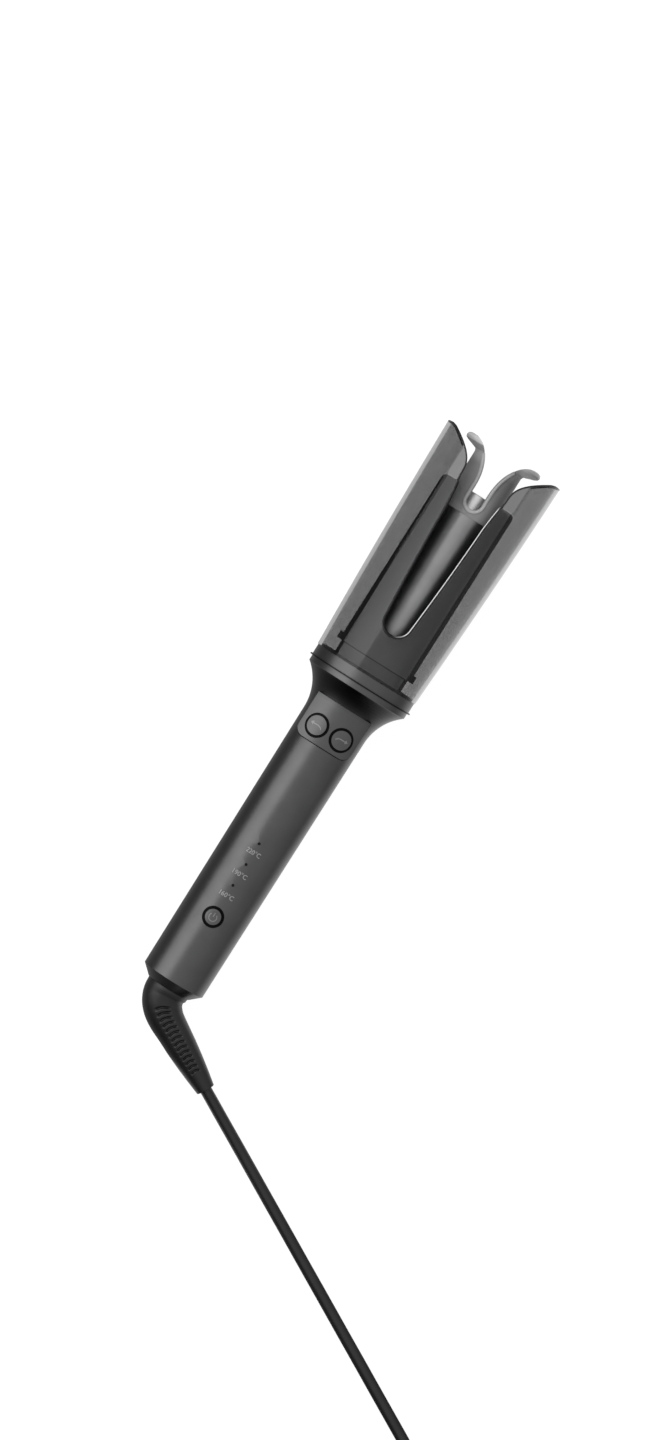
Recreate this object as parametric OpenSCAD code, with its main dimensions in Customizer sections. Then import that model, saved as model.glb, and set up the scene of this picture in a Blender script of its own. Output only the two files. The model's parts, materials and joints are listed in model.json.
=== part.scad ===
// Automatic curling iron: a forked barrel turns inside a slotted heat chamber
// and a smoked outer shell, driven by a gear motor in the handle.
// Sizes are in millimetres. The pieces are drawn along +Y, head end last, with
// the buttons towards +Z, and lie_down() then rests the handle on its back.

/* [Handle] */
// Radius of the grip at its cord end
grip_end_r = 16.7; // [15.8:0.1:17.2]
// Radius of the grip below the buttons
grip_r = 17.3; // [16.8:0.1:18.5]
// Wall of the handle covers
handle_wall = 2; // [1.6:0.1:2.2]
// Length of the grip from the end cap to the start of the neck
grip_len = 147.6; // [144:0.2:160]
// Length of the curved neck
neck_len = 20.8; // [20:0.1:22]
// Radius of the band that ends the neck
band_r = 27.4; // [27:0.1:28]
// Length of that band
band_len = 2.9; // [2:0.1:5]

/* [End cap] */
// Length of the chamfered cap
cap_len = 4.6; // [3.5:0.1:6]
// Radius of the cap's flat face
cap_face_r = 11.6; // [11.2:0.1:13]
// Length of the cap's spigot inside the grip
cap_spigot = 6; // [4:0.5:7]

/* [Collar] */
// Radius of the thin trim ring
trim_r = 28.7; // [28.3:0.1:29.5]
// Thickness of the trim ring
trim_t = 0.7; // [0.5:0.1:1.2]
// Radius of the collar ring
collar_r = 27.7; // [27.4:0.1:28.2]
// Height of the collar ring
collar_len = 5.3; // [5:0.1:6.5]

/* [Outer shell] */
// Outer radius of the shell at its foot
shell_foot_r = 28.2; // [28.1:0.1:28.8]
// Outer radius of the shell at its tips
shell_tip_r = 32.2; // [31:0.1:34]
// How far the shell's side bulges past a straight taper
shell_bulge = 0.45; // [0.1:0.05:0.8]
// Wall of the shell
shell_wall = 2; // [1.6:0.1:2.1]
// Length of the shell from the collar to the tips
shell_len = 126.7; // [124:0.1:136]
// Half width of the opening in the shell's back, between the wings
back_half = 19.1; // [16:0.1:21]

/* [Hair slot] */
// Height of the slot's round end above the collar
slot_rise = 22.1; // [18:0.1:30]
// Radius of the slot's round end
slot_r = 7.35; // [6.5:0.05:8]
// Half width of the slot near its mouth
slot_mouth = 10.8; // [9.5:0.1:11.5]
// Half width of the slot where the wings start
wing_gap = 12.9; // [12.4:0.1:14]
// Height of the wings' curve
wing_h = 20.3; // [18:0.1:22]

/* [Heat chamber] */
// Outer radius of the chamber
chamber_r = 20.4; // [20:0.1:21]
// Wall of the chamber
chamber_wall = 1.7; // [1.4:0.1:1.8]
// Thickness of the lining sheet
lining_t = 0.4; // [0.3:0.05:0.5]
// Height of the seam above the collar
seam_rise = 7.7; // [7:0.1:9]
// Length of the chamber above the seam
chamber_len = 96.1; // [90:0.1:97]
// Outer radius of the base below the seam
base_r = 19; // [18.9:0.1:19.4]
// Thickness of the base's floor
base_t = 1.4; // [1.2:0.1:2.4]
// Radius of the chamber's rounded top edge
chamber_round = 2.6; // [2:0.1:3]

/* [Barrel] */
// Outer radius of the barrel
barrel_r = 12.5; // [12.2:0.05:12.9]
// Wall of the barrel
barrel_wall = 1.2; // [1:0.05:1.4]
// Radius of the hair guide's neck
guide_r = 13.3; // [13.2:0.05:13.8]
// Wall of the prongs
prong_wall = 1.6; // [1.4:0.1:2]
// Height of the guide's lower edge above the collar
guide_rise = 91.4; // [88:0.1:94]
// Half width of the notch between the prongs
notch_half = 3.9; // [3.4:0.1:4.4]
// Radius out to the ends of the curled tips
tip_r = 21; // [20:0.1:22.5]
// Length of the hair guide
guide_len = 36.2; // [34:0.1:38]
// Width of the bead that edges the notch
bead_w = 1.5; // [1:0.1:1.8]
// How far the bead stands proud
bead_h = 0.7; // [0.3:0.05:0.8]

/* [Heater] */
// Radius of the fixed aluminium heater core
core_r = 10.8; // [10:0.1:10.9]
// Length of the heater core
core_len = 71; // [60:1:72]
// Radius of the hollow stem that carries the core
stem_r = 3.5; // [3.3:0.05:3.8]
// Wall of the stem
stem_wall = 0.9; // [0.7:0.1:1.1]
// Half width of the heating ceramic
ceramic_half = 7; // [6:0.1:8]
// Thickness of the heating ceramic
ceramic_t = 3.2; // [2.4:0.1:3.6]

/* [Gears] */
// Module of all the gears
gear_m = 0.5; // [0.49:0.01:0.51]
// Pressure angle of the gears
pressure = 25; // [24:1:26]
// Teeth of the barrel gear
barrel_teeth = 44; // [43:1:45]
// Teeth of the idler's small gear
idler_small = 14; // [13:1:15]
// Teeth of the idler's large gear
idler_large = 30; // [29:1:31]
// Teeth of the motor pinion
pinion_teeth = 12; // [12:1:13]
// Distance of the motor shaft from the barrel's axis
motor_off = 8.2; // [8.1:0.05:8.4]
// Face width of the large idler gear and the pinion
lower_face = 2.6; // [2:0.1:2.8]
// Face width of the barrel gear
upper_face = 3.8; // [3:0.1:4]
// Thickness of the gear plate
plate_t = 1.5; // [1.2:0.1:1.8]
// Radius of the gear plate
plate_r = 20.4; // [20:0.1:20.6]
// Radius of the three posts between the plates
post_r = 2.1; // [1.6:0.1:2.4]

/* [Motor] */
// Width of the motor and its gear head
motor_w = 12; // [11:0.1:12.4]
// Depth of the motor and its gear head
motor_d = 10; // [9:0.1:10.2]
// Length of the gear head
head_len = 10.4; // [9:0.1:12]
// Length of the motor
motor_len = 15; // [12:0.5:16]
// Radius of the output shaft
shaft_r = 1.5; // [1.4:0.05:1.6]

/* [Buttons] */
// Width of the button panel
panel_w = 30.1; // [29:0.1:31]
// Length of the button panel
panel_len = 22.7; // [21:0.1:24]
// Radius of the panel's corners at the cord end
panel_corner = 4.6; // [3:0.1:5]
// Radius of the panel's crown
panel_crown = 28; // [27:0.5:32]
// Height of the panel's middle above the axis
panel_top = 18.6; // [18.4:0.1:19]
// Width of the open groove below the panel
panel_groove = 0.5; // [0.2:0.1:0.8]
// Thickness of the panel
panel_t = 2.2; // [1.8:0.1:2.4]
// Tilt of each turn button from straight up
turn_tilt = 14.5; // [14:0.1:15]
// Radius of a turn button
turn_r = 5; // [4.6:0.1:5.2]
// Radius of a turn button's bezel
turn_bezel_r = 6.2; // [6:0.1:6.4]
// Distance of the turn buttons from the panel's cord end
turn_y = 8.2; // [7.8:0.1:9]
// Radius of the power button
power_r = 4.2; // [3.8:0.1:4.4]
// Radius of the power button's bezel
power_bezel_r = 5.45; // [5.2:0.05:5.8]
// Place of the power button from the end cap's face
power_y = 42; // [40:0.5:43]
// How far each button travels
press = 0.6; // [0.3:0.05:0.6]
// How far the button faces stand above what is round them
button_proud = 0.35; // [0.1:0.05:0.6]
// Radius of the light guides
light_r = 0.7; // [0.5:0.05:1]
// Place of the lowest light guide from the end cap's face
light_y = 60.2; // [59:0.1:62]
// Spacing of the light guides
light_step = 12; // [11:0.1:12.5]

/* [Circuit board] */
// Half width of the board
board_half = 12; // [11:0.1:12.4]
// Height of the board's underside above the axis
board_z = 5; // [4.6:0.1:5.2]
// Thickness of the board
board_t = 1.6; // [1.2:0.1:1.6]
// Side of a tact switch
switch_w = 6; // [5.6:0.1:6.2]
// Height of a tact switch
switch_h = 3.5; // [3.3:0.1:3.6]
// Radius of a tact switch's actuator
actuator_r = 1.6; // [1.4:0.1:1.7]

/* [Cord] */
// Diameter of the cord
cord_d = 6; // [5.6:0.1:6]
// Distance between neighbouring turns of the coil, sideways and up
turn_pitch = 6.6; // [6.5:0.05:6.8]
// Radius of the coil's innermost turn
coil_inner_r = 25; // [24.8:0.1:25.4]
// Turns of the coil in each of its two layers
layer_turns = 3.25; // [3.25:1:3.25]
// Width of the tie round the coil
tie_w = 10; // [6:0.5:12]
// Thickness of the tie
tie_t = 0.8; // [0.6:0.1:0.8]

/* [Plug] */
// Width of the plug at its face
plug_w = 35.3; // [34:0.1:36]
// Thickness of the plug
plug_t = 13.7; // [13.5:0.1:13.9]
// Radius of the plug's pins
pin_r = 2; // [2:0.05:2.4]
// Length of the pins from the plug's face
pin_len = 19; // [18:0.5:20]
// Distance between the pins at the plug's face
pin_gap = 18.6; // [18:0.1:19]

/* [Hidden] */

// Clearances
fit = 0.02;      // a pressed or seated piece
run = 0.05;      // a shaft that turns in its hole
slide = 0.2;     // a button in its bezel
seam = 0.15;     // round a panel
gap = 0.3;       // between neighbours that don't touch
far = 60;        // wider than the object
beyond = 400;    // longer than the object

// Places along the axis, from the end cap's face
neck_y = cap_len + grip_len;
band_y = neck_y + neck_len;
trim_y = band_y + band_len;
collar_y = trim_y + trim_t;
shell_y = collar_y + collar_len;
tip_y = shell_y + shell_len;
seam_y = shell_y + seam_rise;
chamber_top = seam_y + chamber_len;
slot_low = shell_y + slot_rise;
guide_low = shell_y + guide_rise;
guide_top = guide_low + guide_len;

// The neck's outline is an arc that leaves the grip straight and ends at the band
neck_rise = band_r - grip_r;
neck_arc = (neck_len * neck_len + neck_rise * neck_rise) / (2 * neck_rise);
neck_turn = asin(neck_len / neck_arc);
function neck_out(y) = grip_r + neck_arc - sqrt(pow(neck_arc, 2) - pow(y - neck_y, 2));
function neck_in(y) =
    grip_r + neck_arc - sqrt(pow(neck_arc + handle_wall, 2) - pow(y - neck_y, 2));
function grip_at(y) = grip_end_r + (grip_r - grip_end_r) * (y - cap_len) / grip_len;

// The handle lies on its back, on the grip's end and the trim ring
tilt = atan((trim_r - grip_end_r) / (trim_y - cap_len));
lift = grip_end_r * cos(tilt) - cap_len * sin(tilt);
middle_y = guide_top * cos(tilt) / 2;

// Shell outline
function shell_out(y) =
    let (t = (y - shell_y) / shell_len)
    shell_foot_r + (shell_tip_r - shell_foot_r) * t + 4 * shell_bulge * t * (1 - t);
function shell_in(y) = shell_out(y) - shell_wall;
shell_steps = 10;

// Slot and wings, seen from the front
slot_mid = slot_low + slot_r;
mouth_y = slot_mid + 59.6;
slot_bow = 0.8;    // how far the slot's long sides bow out
wing_y = tip_y - wing_h - 0.2;
wing_end = 28;     // half width where the wings' slope meets their level tips
lip = 0.4;         // how far the chamber's slot edge shows inside the shell's
cheek = 1.3;       // wall that lines the slot between chamber and shell

// Hair guide
notch_low = guide_low + 3.6;
notch_mid = notch_low + notch_half;
horn_y = guide_low + 14.7;
horn_w = tip_r - notch_half - 2.9;
horn_h = guide_top - horn_y;
barrel_low = shell_y + 7.6;
barrel_top = guide_low + 2.6;
barrel_in = barrel_r - barrel_wall;

// Gear train, in the plane square to the axis
barrel_pitch = gear_m * barrel_teeth / 2;
idler_off = gear_m * (barrel_teeth + idler_small) / 2;
mesh_off = gear_m * (idler_large + pinion_teeth) / 2;
idler_turn = acos((pow(idler_off, 2) + pow(motor_off, 2) - pow(mesh_off, 2))
                  / (2 * idler_off * motor_off));
idler_at = [idler_off * sin(idler_turn), idler_off * cos(idler_turn)];
motor_at = [0, motor_off];
mesh_angle = atan2(motor_at[1] - idler_at[1], motor_at[0] - idler_at[0]);
barrel_angle = atan2(idler_at[1], idler_at[0]);
addendum = 0.9;
dedendum = 1.2;
backlash = 0.06;
bearing_y = shell_y - 2;
upper_y = bearing_y - 0.7 - upper_face;
lower_y = upper_y - 0.8 - lower_face;
plate_y = lower_y - 1.5 - plate_t;
post_off = 17.5;
post_angles = [160, -35, -125];
hub_r = 6;
bush_r = 8;

// Heater
stem_flange_y = shell_y + 13.1;
core_y = stem_flange_y + 2;
core_top = core_y + core_len;
journal_r = 2.5;

// Buttons
panel_y = neck_y - 12.3;
crown_z = panel_top - panel_crown;
ledge_z = sqrt(pow(grip_r, 2) - pow(panel_w / 2, 2)) + 0.1;
skirt = 1.5;
turn_at = panel_y + turn_y;
board_top = board_z + board_t;
well_floor = board_top + switch_h - press - 1.5;
actuator_low = well_floor + press + 0.25;
actuator_top = board_top + switch_h + 0.9;
light_spots = [for (i = [0:2]) light_y + i * light_step];
board_y = 30;
board_end = neck_y + 5.8;

// Handle screws, from the rear cover into the front cover
screw_spots = [26, 112];
boss_r = 2.8;
screw_r = 1.2;
screw_head_r = 2.4;
screw_seat = -12;    // where the screw heads bear on the rear cover
screw_head_t = 1.8;
rib_spots = [38, 134];
clamp_y = 16;
clamp_x = 7;
cord_r = cord_d / 2;
boot_spigot_r = 8;   // the boot where it passes through the cap

module along_y(y) translate([0, y, 0]) rotate([-90, 0, 0]) children();
module rod(x, z, y0, y1, r) translate([x, y0, z]) rotate([-90, 0, 0])
    cylinder(h = y1 - y0, r = r, $fn = r > 14 ? 192 : 64);
module ring(y0, y1, r_out, r_in) difference() {
    rod(0, 0, y0, y1, r_out);
    rod(0, 0, y0 - 1, y1 + 1, r_in);
}
module post(x, y, z0, z1, r) translate([x, y, z0]) cylinder(h = z1 - z0, r = r, $fn = 48);
module block(x, y0, y1, z0, z1) translate([-x, y0, z0]) cube([2 * x, y1 - y0, z1 - z0]);
module lie_down() translate([0, -middle_y, lift]) rotate([tilt, 0, 0]) children();
module turned(points) along_y(0) rotate_extrude($fn = 128) polygon(points);
module front_half() block(far, -far, beyond, 0, far);
module rear_half() block(far, -far, beyond, -far, 0);

// Handle covers

module handle_outline() turned(concat(
    [[0, cap_len], [grip_end_r, cap_len], [grip_r, neck_y]],
    [for (i = [1:14]) let (y = neck_y + neck_arc * sin(neck_turn * i / 14)) [neck_out(y), y]],
    [[band_r, trim_y], [0, trim_y]]
));

module handle_hollow() turned(concat(
    [[0, cap_len - 1], [grip_end_r - handle_wall, cap_len - 1],
     [grip_end_r - handle_wall, cap_len], [grip_r - handle_wall, neck_y]],
    [for (i = [1:14]) let (y = neck_y + neck_arc * sin(neck_turn * i / 14)) [neck_in(y), y]],
    [[band_r - handle_wall, band_y + 0.9], [band_r - handle_wall, trim_y + 1], [0, trim_y + 1]]
));

// The panel's outline: square at the neck, round at the cord end
module panel_outline(grow) {
    half = panel_w / 2 + grow;
    r = panel_corner + grow;
    translate([0, panel_y - grow]) union() {
        translate([-half, r]) square([2 * half, panel_len + 2 * grow - r]);
        translate([-half + r, 0]) square([2 * (half - r), r + 1]);
        for (s = [-1, 1]) translate([s * (half - r), r]) circle(r = r, $fn = 64);
    }
}

module turn_button_frame(side) translate([0, turn_at, crown_z])
    rotate([0, side * turn_tilt, 0]) children();

module handle_front() color("#4a4b4d") lie_down() difference() {
    union() {
        intersection() {
            difference() {
                handle_outline();
                handle_hollow();
            }
            front_half();
        }
        for (y = screw_spots) post(0, y, 0, grip_at(y) - handle_wall / 2, boss_r);
    }
    for (y = screw_spots) post(0, y, -1, 8, screw_r + fit);
    for (y = [0, seam - panel_groove])
        translate([0, y, ledge_z]) linear_extrude(far) panel_outline(seam);
    post(0, power_y, 0, far, power_bezel_r + fit);
    for (y = light_spots) post(0, y, 0, far, light_r + run);
}

module handle_rear() color("#4a4b4d") lie_down() difference() {
    union() {
        intersection() {
            difference() {
                handle_outline();
                handle_hollow();
            }
            rear_half();
        }
        intersection() {
            union() {
                for (y = screw_spots) post(0, y, -far, -0.1, boss_r + 0.7);
                for (s = [-1, 1]) post(s * clamp_x, clamp_y, -far, cord_r, 2.6);
                block(2.5, clamp_y - 2, clamp_y + 2, -far, -cord_r - fit);
                for (y = rib_spots, s = [-1, 1])
                    translate([s * 9.5, 0, 0]) block(1, y, y + 1.6, -far, board_z);
            }
            turned([[0, cap_len + cap_spigot], [grip_end_r - handle_wall + 0.2, cap_len],
                    [grip_r - handle_wall / 2, neck_y], [0, neck_y]]);
        }
    }
    for (y = screw_spots) {
        post(0, y, -far, 0, screw_r + 0.1);
        post(0, y, -far, screw_seat, screw_head_r + slide);
    }
    for (s = [-1, 1]) post(s * clamp_x, clamp_y, -5, far, 1 + fit);
}

module handle_screws() color("#8d9095") lie_down() for (y = screw_spots) {
    post(0, y, screw_seat - screw_head_t, screw_seat, screw_head_r);
    post(0, y, screw_seat, 6, screw_r);
}

module end_cap() color("#17181a") lie_down() difference() {
    union() {
        turned([[0, 0], [cap_face_r, 0], [grip_end_r, cap_len], [0, cap_len]]);
        rod(0, 0, cap_len, cap_len + cap_spigot, grip_end_r - handle_wall - 0.1);
    }
    rod(0, 0, -1, far, boot_spigot_r);
    rod(0, 0, cap_len, far, grip_end_r - handle_wall - 1.7);
}

// Button panel, buttons, bezels and lights

module button_panel() color("#505153") lie_down() difference() {
    intersection() {
        translate([0, 0, ledge_z]) linear_extrude(far) panel_outline(0);
        rod(0, crown_z, 0, beyond, panel_crown);
    }
    intersection() {
        linear_extrude(far) panel_outline(-skirt);
        rod(0, crown_z, 0, beyond, panel_crown - panel_t);
    }
    for (side = [-1, 1]) turn_button_frame(side)
        cylinder(h = far, r = turn_bezel_r + fit, $fn = 64);
}

module button_bezels() color("#101112") lie_down() {
    for (side = [-1, 1]) difference() {
        intersection() {
            turn_button_frame(side) translate([0, 0, panel_crown - panel_t])
                cylinder(h = far, r = turn_bezel_r, $fn = 64);
            rod(0, crown_z, 0, beyond, panel_crown + 0.12);
        }
        turn_button_frame(side) cylinder(h = far, r = turn_r + slide, $fn = 64);
    }
    difference() {
        intersection() {
            post(0, power_y, grip_at(power_y) - handle_wall - 1.4, far, power_bezel_r);
            rod(0, 0, 0, beyond, grip_at(power_y) + 0.12);
        }
        post(0, power_y, 0, far, power_r + slide);
    }
}

// A turn button: a crowned face, a flange behind its bezel and a stem
module turn_button(side) color("#5a5b5d") lie_down() {
    flange_top = panel_crown - panel_t - 0.1;
    intersection() {
        turn_button_frame(side) translate([0, 0, flange_top - 0.8])
            cylinder(h = far, r = turn_r, $fn = 64);
        rod(0, crown_z, 0, beyond, panel_crown + button_proud);
    }
    turn_button_frame(side) {
        translate([0, 0, flange_top - 0.8]) cylinder(h = 0.8, r = turn_bezel_r - gap, $fn = 64);
        translate([0, 0, stem_low]) cylinder(h = flange_top - stem_low, r = actuator_r, $fn = 32);
    }
}
stem_low = (actuator_top + 0.45 - crown_z) / cos(turn_tilt);
switch_x = (actuator_top - crown_z) * tan(turn_tilt);

module power_button() color("#5a5b5d") lie_down() {
    flange_top = grip_at(power_y) - handle_wall - 1.5;
    intersection() {
        post(0, power_y, flange_top - 0.8, far, power_r);
        rod(0, 0, 0, beyond, grip_at(power_y) + button_proud);
    }
    post(0, power_y, flange_top - 0.8, flange_top, power_bezel_r - gap);
    post(0, power_y, actuator_top + 0.05, flange_top, actuator_r);
}

module actuator(x, y) color("#202123") lie_down()
    post(x, y, actuator_low, actuator_top, actuator_r);

module tact_switch(x, y) color("#2b2c2e") lie_down() difference() {
    translate([x, 0, 0])
        block(switch_w / 2, y - switch_w / 2, y + switch_w / 2, board_top, board_top + switch_h);
    post(x, y, well_floor, far, actuator_r + gap);
}

module heat_lights() color("#1c1d1f") lie_down() for (y = light_spots) {
    post(0, y, board_top + 1.3, grip_at(y) - 0.1, light_r);
    post(0, y, grip_at(y) - handle_wall - 1.2, grip_at(y) - handle_wall - 0.2, light_r + 0.7);
}

module indicator_lamps() color("#d8d4c8") lie_down() for (y = light_spots)
    block(0.6, y - 1, y + 1, board_top, board_top + 1);

// Circuit board and what it carries

module control_board() color("#2f5b40") lie_down() difference() {
    block(board_half, board_y, board_end, board_z, board_top);
    post(0, screw_spots[1], 0, far, boss_r + gap);
}

module terminal_block() color("#3d6f9e") lie_down() difference() {
    block(7, board_y + 0.5, board_y + 6.5, board_z - 9, board_z);
    for (x = [-4.5, 0, 4.5]) rod(x, board_z - 5, 0, board_y + 5, 1.4);
}

module filter_capacitor() color("#c9a23a") lie_down()
    block(6.5, board_y + 16, board_y + 29, board_z - 11, board_z);

module heater_triac() color("#26272a") lie_down() {
    block(5, board_y + 36, board_y + 45, board_z - 4.5, board_z);
    block(5, board_y + 45, board_y + 51, board_z - 1.4, board_z);
}

module smoothing_capacitor() color("#3a4a72") lie_down()
    rod(0, board_z - 4, board_y + 56, board_y + 72, 4);

module cord_clamp() color("#2b2c2e") lie_down() difference() {
    block(clamp_x + 2.5, clamp_y - 3, clamp_y + 3, cord_r, cord_r + 3);
    for (s = [-1, 1]) post(s * clamp_x, clamp_y, 0, far, 1.1);
}

module clamp_screws() color("#8d9095") lie_down() for (s = [-1, 1]) {
    post(s * clamp_x, clamp_y, cord_r + 3, cord_r + 4.4, 2);
    post(s * clamp_x, clamp_y, -4, cord_r + 3, 1);
}

// Gears

function involute(a) = tan(a) * 180 / PI - a;
function flank(r, teeth) =
    let (pitch_r = gear_m * teeth / 2, base = pitch_r * cos(pressure))
    90 / teeth - backlash / pitch_r * 90 / PI + involute(pressure)
        - (r > base ? involute(acos(base / r)) : 0);
function tooth_radii(teeth) =
    let (pitch_r = gear_m * teeth / 2, base = pitch_r * cos(pressure),
         root = pitch_r - dedendum * gear_m, tip = pitch_r + addendum * gear_m,
         start = max(root, base))
    concat(root < base ? [root] : [], [for (i = [0:4]) start + (tip - start) * i / 4]);
function gear_points(teeth, phase) =
    let (radii = tooth_radii(teeth), n = len(radii))
    [for (k = [0:teeth - 1], j = [0:2 * n - 1])
        let (up = j < n, r = radii[up ? j : 2 * n - 1 - j],
             a = phase + 360 * k / teeth + (up ? -1 : 1) * flank(r, teeth))
        [r * cos(a), r * sin(a)]];

// A spur gear round the local axis; its own plane has +Y towards the handle's back
module spur(at, y0, y1, teeth, phase) translate([at[0], y0, -at[1]]) rotate([-90, 0, 0])
    linear_extrude(y1 - y0) polygon(gear_points(teeth, phase));
module hole_at(at, r) rod(at[0], -at[1], 0, beyond, r);

module barrel_gear() color("#d9d4c3") lie_down() difference() {
    spur([0, 0], upper_y, upper_y + upper_face, barrel_teeth, barrel_angle);
    hole_at([0, 0], hub_r + fit);
}

module idler_gear() color("#d9d4c3") lie_down() difference() {
    union() {
        spur(idler_at, lower_y, lower_y + lower_face, idler_large, mesh_angle);
        rod(idler_at[0], -idler_at[1], lower_y, upper_y, 2.8);
        spur(idler_at, upper_y, upper_y + upper_face, idler_small,
             barrel_angle + 180 + 180 / idler_small);
    }
    hole_at(idler_at, shaft_r + run);
}

module motor_pinion() color("#b98f3c") lie_down() difference() {
    spur(motor_at, lower_y, lower_y + lower_face, pinion_teeth,
         mesh_angle + 180 + 180 / pinion_teeth);
    hole_at(motor_at, shaft_r + fit);
}

module motor_shaft() color("#a9acb0") lie_down()
    rod(0, -motor_off, plate_y - 4, lower_y + lower_face + 0.3, shaft_r);

module idler_pin() color("#a9acb0") lie_down()
    rod(idler_at[0], -idler_at[1], plate_y, bearing_y + 1, shaft_r);

module gear_plate() color("#9a9da1") lie_down() difference() {
    rod(0, 0, plate_y, plate_y + plate_t, plate_r);
    hole_at([0, 0], stem_r + fit);
    hole_at(motor_at, shaft_r + 0.5);
    hole_at(idler_at, shaft_r + fit);
    for (x = [-4.5, 4.5]) hole_at([x, motor_off], 0.8 + fit);
    for (a = post_angles) hole_at(post_off * [cos(a), sin(a)], 0.9);
}

module bearing_plate() color("#2b2c2e") lie_down() difference() {
    union() {
        rod(0, 0, bearing_y, shell_y, collar_r - 3.1);
        for (a = post_angles)
            rod(post_off * cos(a), -post_off * sin(a), plate_y + plate_t, bearing_y, post_r);
    }
    hole_at([0, 0], bush_r + fit);
    rod(idler_at[0], -idler_at[1], 0, bearing_y + 1.2, shaft_r + fit);
    for (a = post_angles)
        rod(post_off * cos(a), -post_off * sin(a), 0, bearing_y, 0.8 + fit);
}

module gearbox_screws() color("#8d9095") lie_down() for (a = post_angles) {
    rod(post_off * cos(a), -post_off * sin(a), plate_y - 1.2, plate_y, 1.7);
    rod(post_off * cos(a), -post_off * sin(a), plate_y, bearing_y - 1, 0.8);
}

// Motor

module motor_body(y0, y1) intersection() {
    rod(0, -motor_off, y0, y1, motor_w / 2);
    block(motor_w, y0, y1, -motor_off - motor_d / 2, -motor_off + motor_d / 2);
}

module motor() color("#b8bbbf") lie_down() {
    end = plate_y - head_len;
    motor_body(end - motor_len, end);
    rod(0, -motor_off, end - motor_len - 1.2, end - motor_len, 2.2);
}

module gear_head() color("#b98f3c") lie_down() difference() {
    block(motor_w / 2, plate_y - head_len, plate_y, -motor_off - motor_d / 2,
          -motor_off + motor_d / 2);
    rod(0, -motor_off, plate_y - 4.2, plate_y + 1, shaft_r + run);
    for (x = [-4.5, 4.5]) rod(x, -motor_off, plate_y - 2.6, plate_y + 1, 0.8 + fit);
}

module motor_screws() color("#8d9095") lie_down() for (x = [-4.5, 4.5]) {
    rod(x, -motor_off, plate_y - 2.5, plate_y + plate_t, 0.8);
    rod(x, -motor_off, plate_y + plate_t, plate_y + plate_t + 0.8, 1.4);
}

// Barrel, hub, bushes and hair guide

module barrel_hub() color("#3a3b3d") lie_down() difference() {
    union() {
        rod(0, 0, upper_y, barrel_low, hub_r);
        rod(0, 0, shell_y + 4.1, barrel_low, barrel_r);
        rod(0, 0, barrel_low, barrel_low + 3.5, barrel_in - fit);
    }
    hole_at([0, 0], stem_r + run);
}

module lower_bush() color("#b98f3c") lie_down() difference() {
    union() {
        rod(0, 0, bearing_y, shell_y + base_t, bush_r);
        rod(0, 0, shell_y + base_t, shell_y + base_t + 1, bush_r + 1.5);
    }
    hole_at([0, 0], hub_r + run);
}

module upper_bush() color("#b98f3c") lie_down()
    ring(guide_low - 2.1, guide_low + 1.9, 4.5, journal_r + run);

module barrel() color("#3b3c3f") lie_down()
    ring(barrel_low, barrel_top, barrel_r, barrel_in);

// Half outline of the notch and the flare above it, seen from the front
function horn_edge(grow) = [for (i = [0:14]) let (a = 180 - 90 * i / 14)
    [notch_half + horn_w + (horn_w - grow) * cos(a), horn_y + (horn_h - grow) * sin(a)]];
function notch_side(grow) = concat(
    [for (a = [-80:10:0]) [(notch_half + grow) * cos(a), notch_mid + (notch_half + grow) * sin(a)]],
    horn_edge(grow),
    [[2 * tip_r, guide_top - grow], [2 * tip_r, guide_top + 20]]
);
module mirrored_outline(side) polygon(concat(
    side, [for (i = [len(side) - 1:-1:0]) [-side[i][0], side[i][1]]]
));
module notch_cut(grow) translate([0, 0, -far]) linear_extrude(2 * far)
    mirrored_outline(notch_side(grow));

module hair_guide() color("#5f6063") lie_down() difference() {
    union() {
        turned([
            [0, guide_low - 2.5], [barrel_in - fit, guide_low - 2.5],
            [barrel_in - fit, barrel_top + fit], [barrel_r + fit, barrel_top + fit],
            [barrel_r + fit, guide_low], [guide_r, guide_low], [guide_r, guide_top - 6.8],
            [guide_r + 0.5, guide_top - 5.6], [guide_r + 2.7, guide_top - 4.8],
            [tip_r - 1.9, guide_top - 3.8], [tip_r - 0.4, guide_top - 3],
            [tip_r, guide_top - 1.9], [tip_r - 0.4, guide_top - 0.6],
            [tip_r - 1.6, guide_top], [tip_r - 3, guide_top - 0.1],
            [guide_r + 1.6, guide_top - 1.4], [guide_r - 0.8, guide_top - 3.2],
            [guide_r - prong_wall, guide_top - 6.4], [guide_r - prong_wall, notch_low],
            [0, notch_low]
        ]);
        intersection() {
            ring(guide_low + 0.6, guide_top - 6, guide_r + bead_h, guide_r - prong_wall);
            notch_cut(bead_w);
        }
    }
    notch_cut(0);
    rod(0, 0, 0, guide_low + 2, 4.5 + fit);
}

// Heater

module heater_stem() color("#b7babd") lie_down() difference() {
    union() {
        rod(0, 0, plate_y, core_y, stem_r);
        rod(0, 0, stem_flange_y, core_y, core_r - 0.2);
    }
    hole_at([0, 0], stem_r - stem_wall);
}

module heater_core(side) difference() {
    rod(0, 0, core_y, core_top, core_r);
    translate([0, 0, side * (far / 2 - 0.05)]) block(far, 0, beyond, -far / 2, far / 2);
    block(ceramic_half + 0.1, core_y + 3.4, core_top - 3.4,
          -ceramic_t / 2 - 0.05, ceramic_t / 2 + 0.05);
    rod(0, 0, core_y - 1, core_y + 3.4, 4);
    if (side < 0) rod(0, 6, core_y - 1, core_y + 13, 2.1);
    else rod(0, -6, core_y - 1, core_y + 16, 1.3);
}

module heater_core_front() color("#a9acb0") lie_down() heater_core(-1);
module heater_core_rear() color("#a9acb0") lie_down() heater_core(1);

module heating_ceramic() color("#d9d4cb") lie_down()
    block(ceramic_half, core_y + 3.6, core_top - 3.6, -ceramic_t / 2, ceramic_t / 2);

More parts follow.
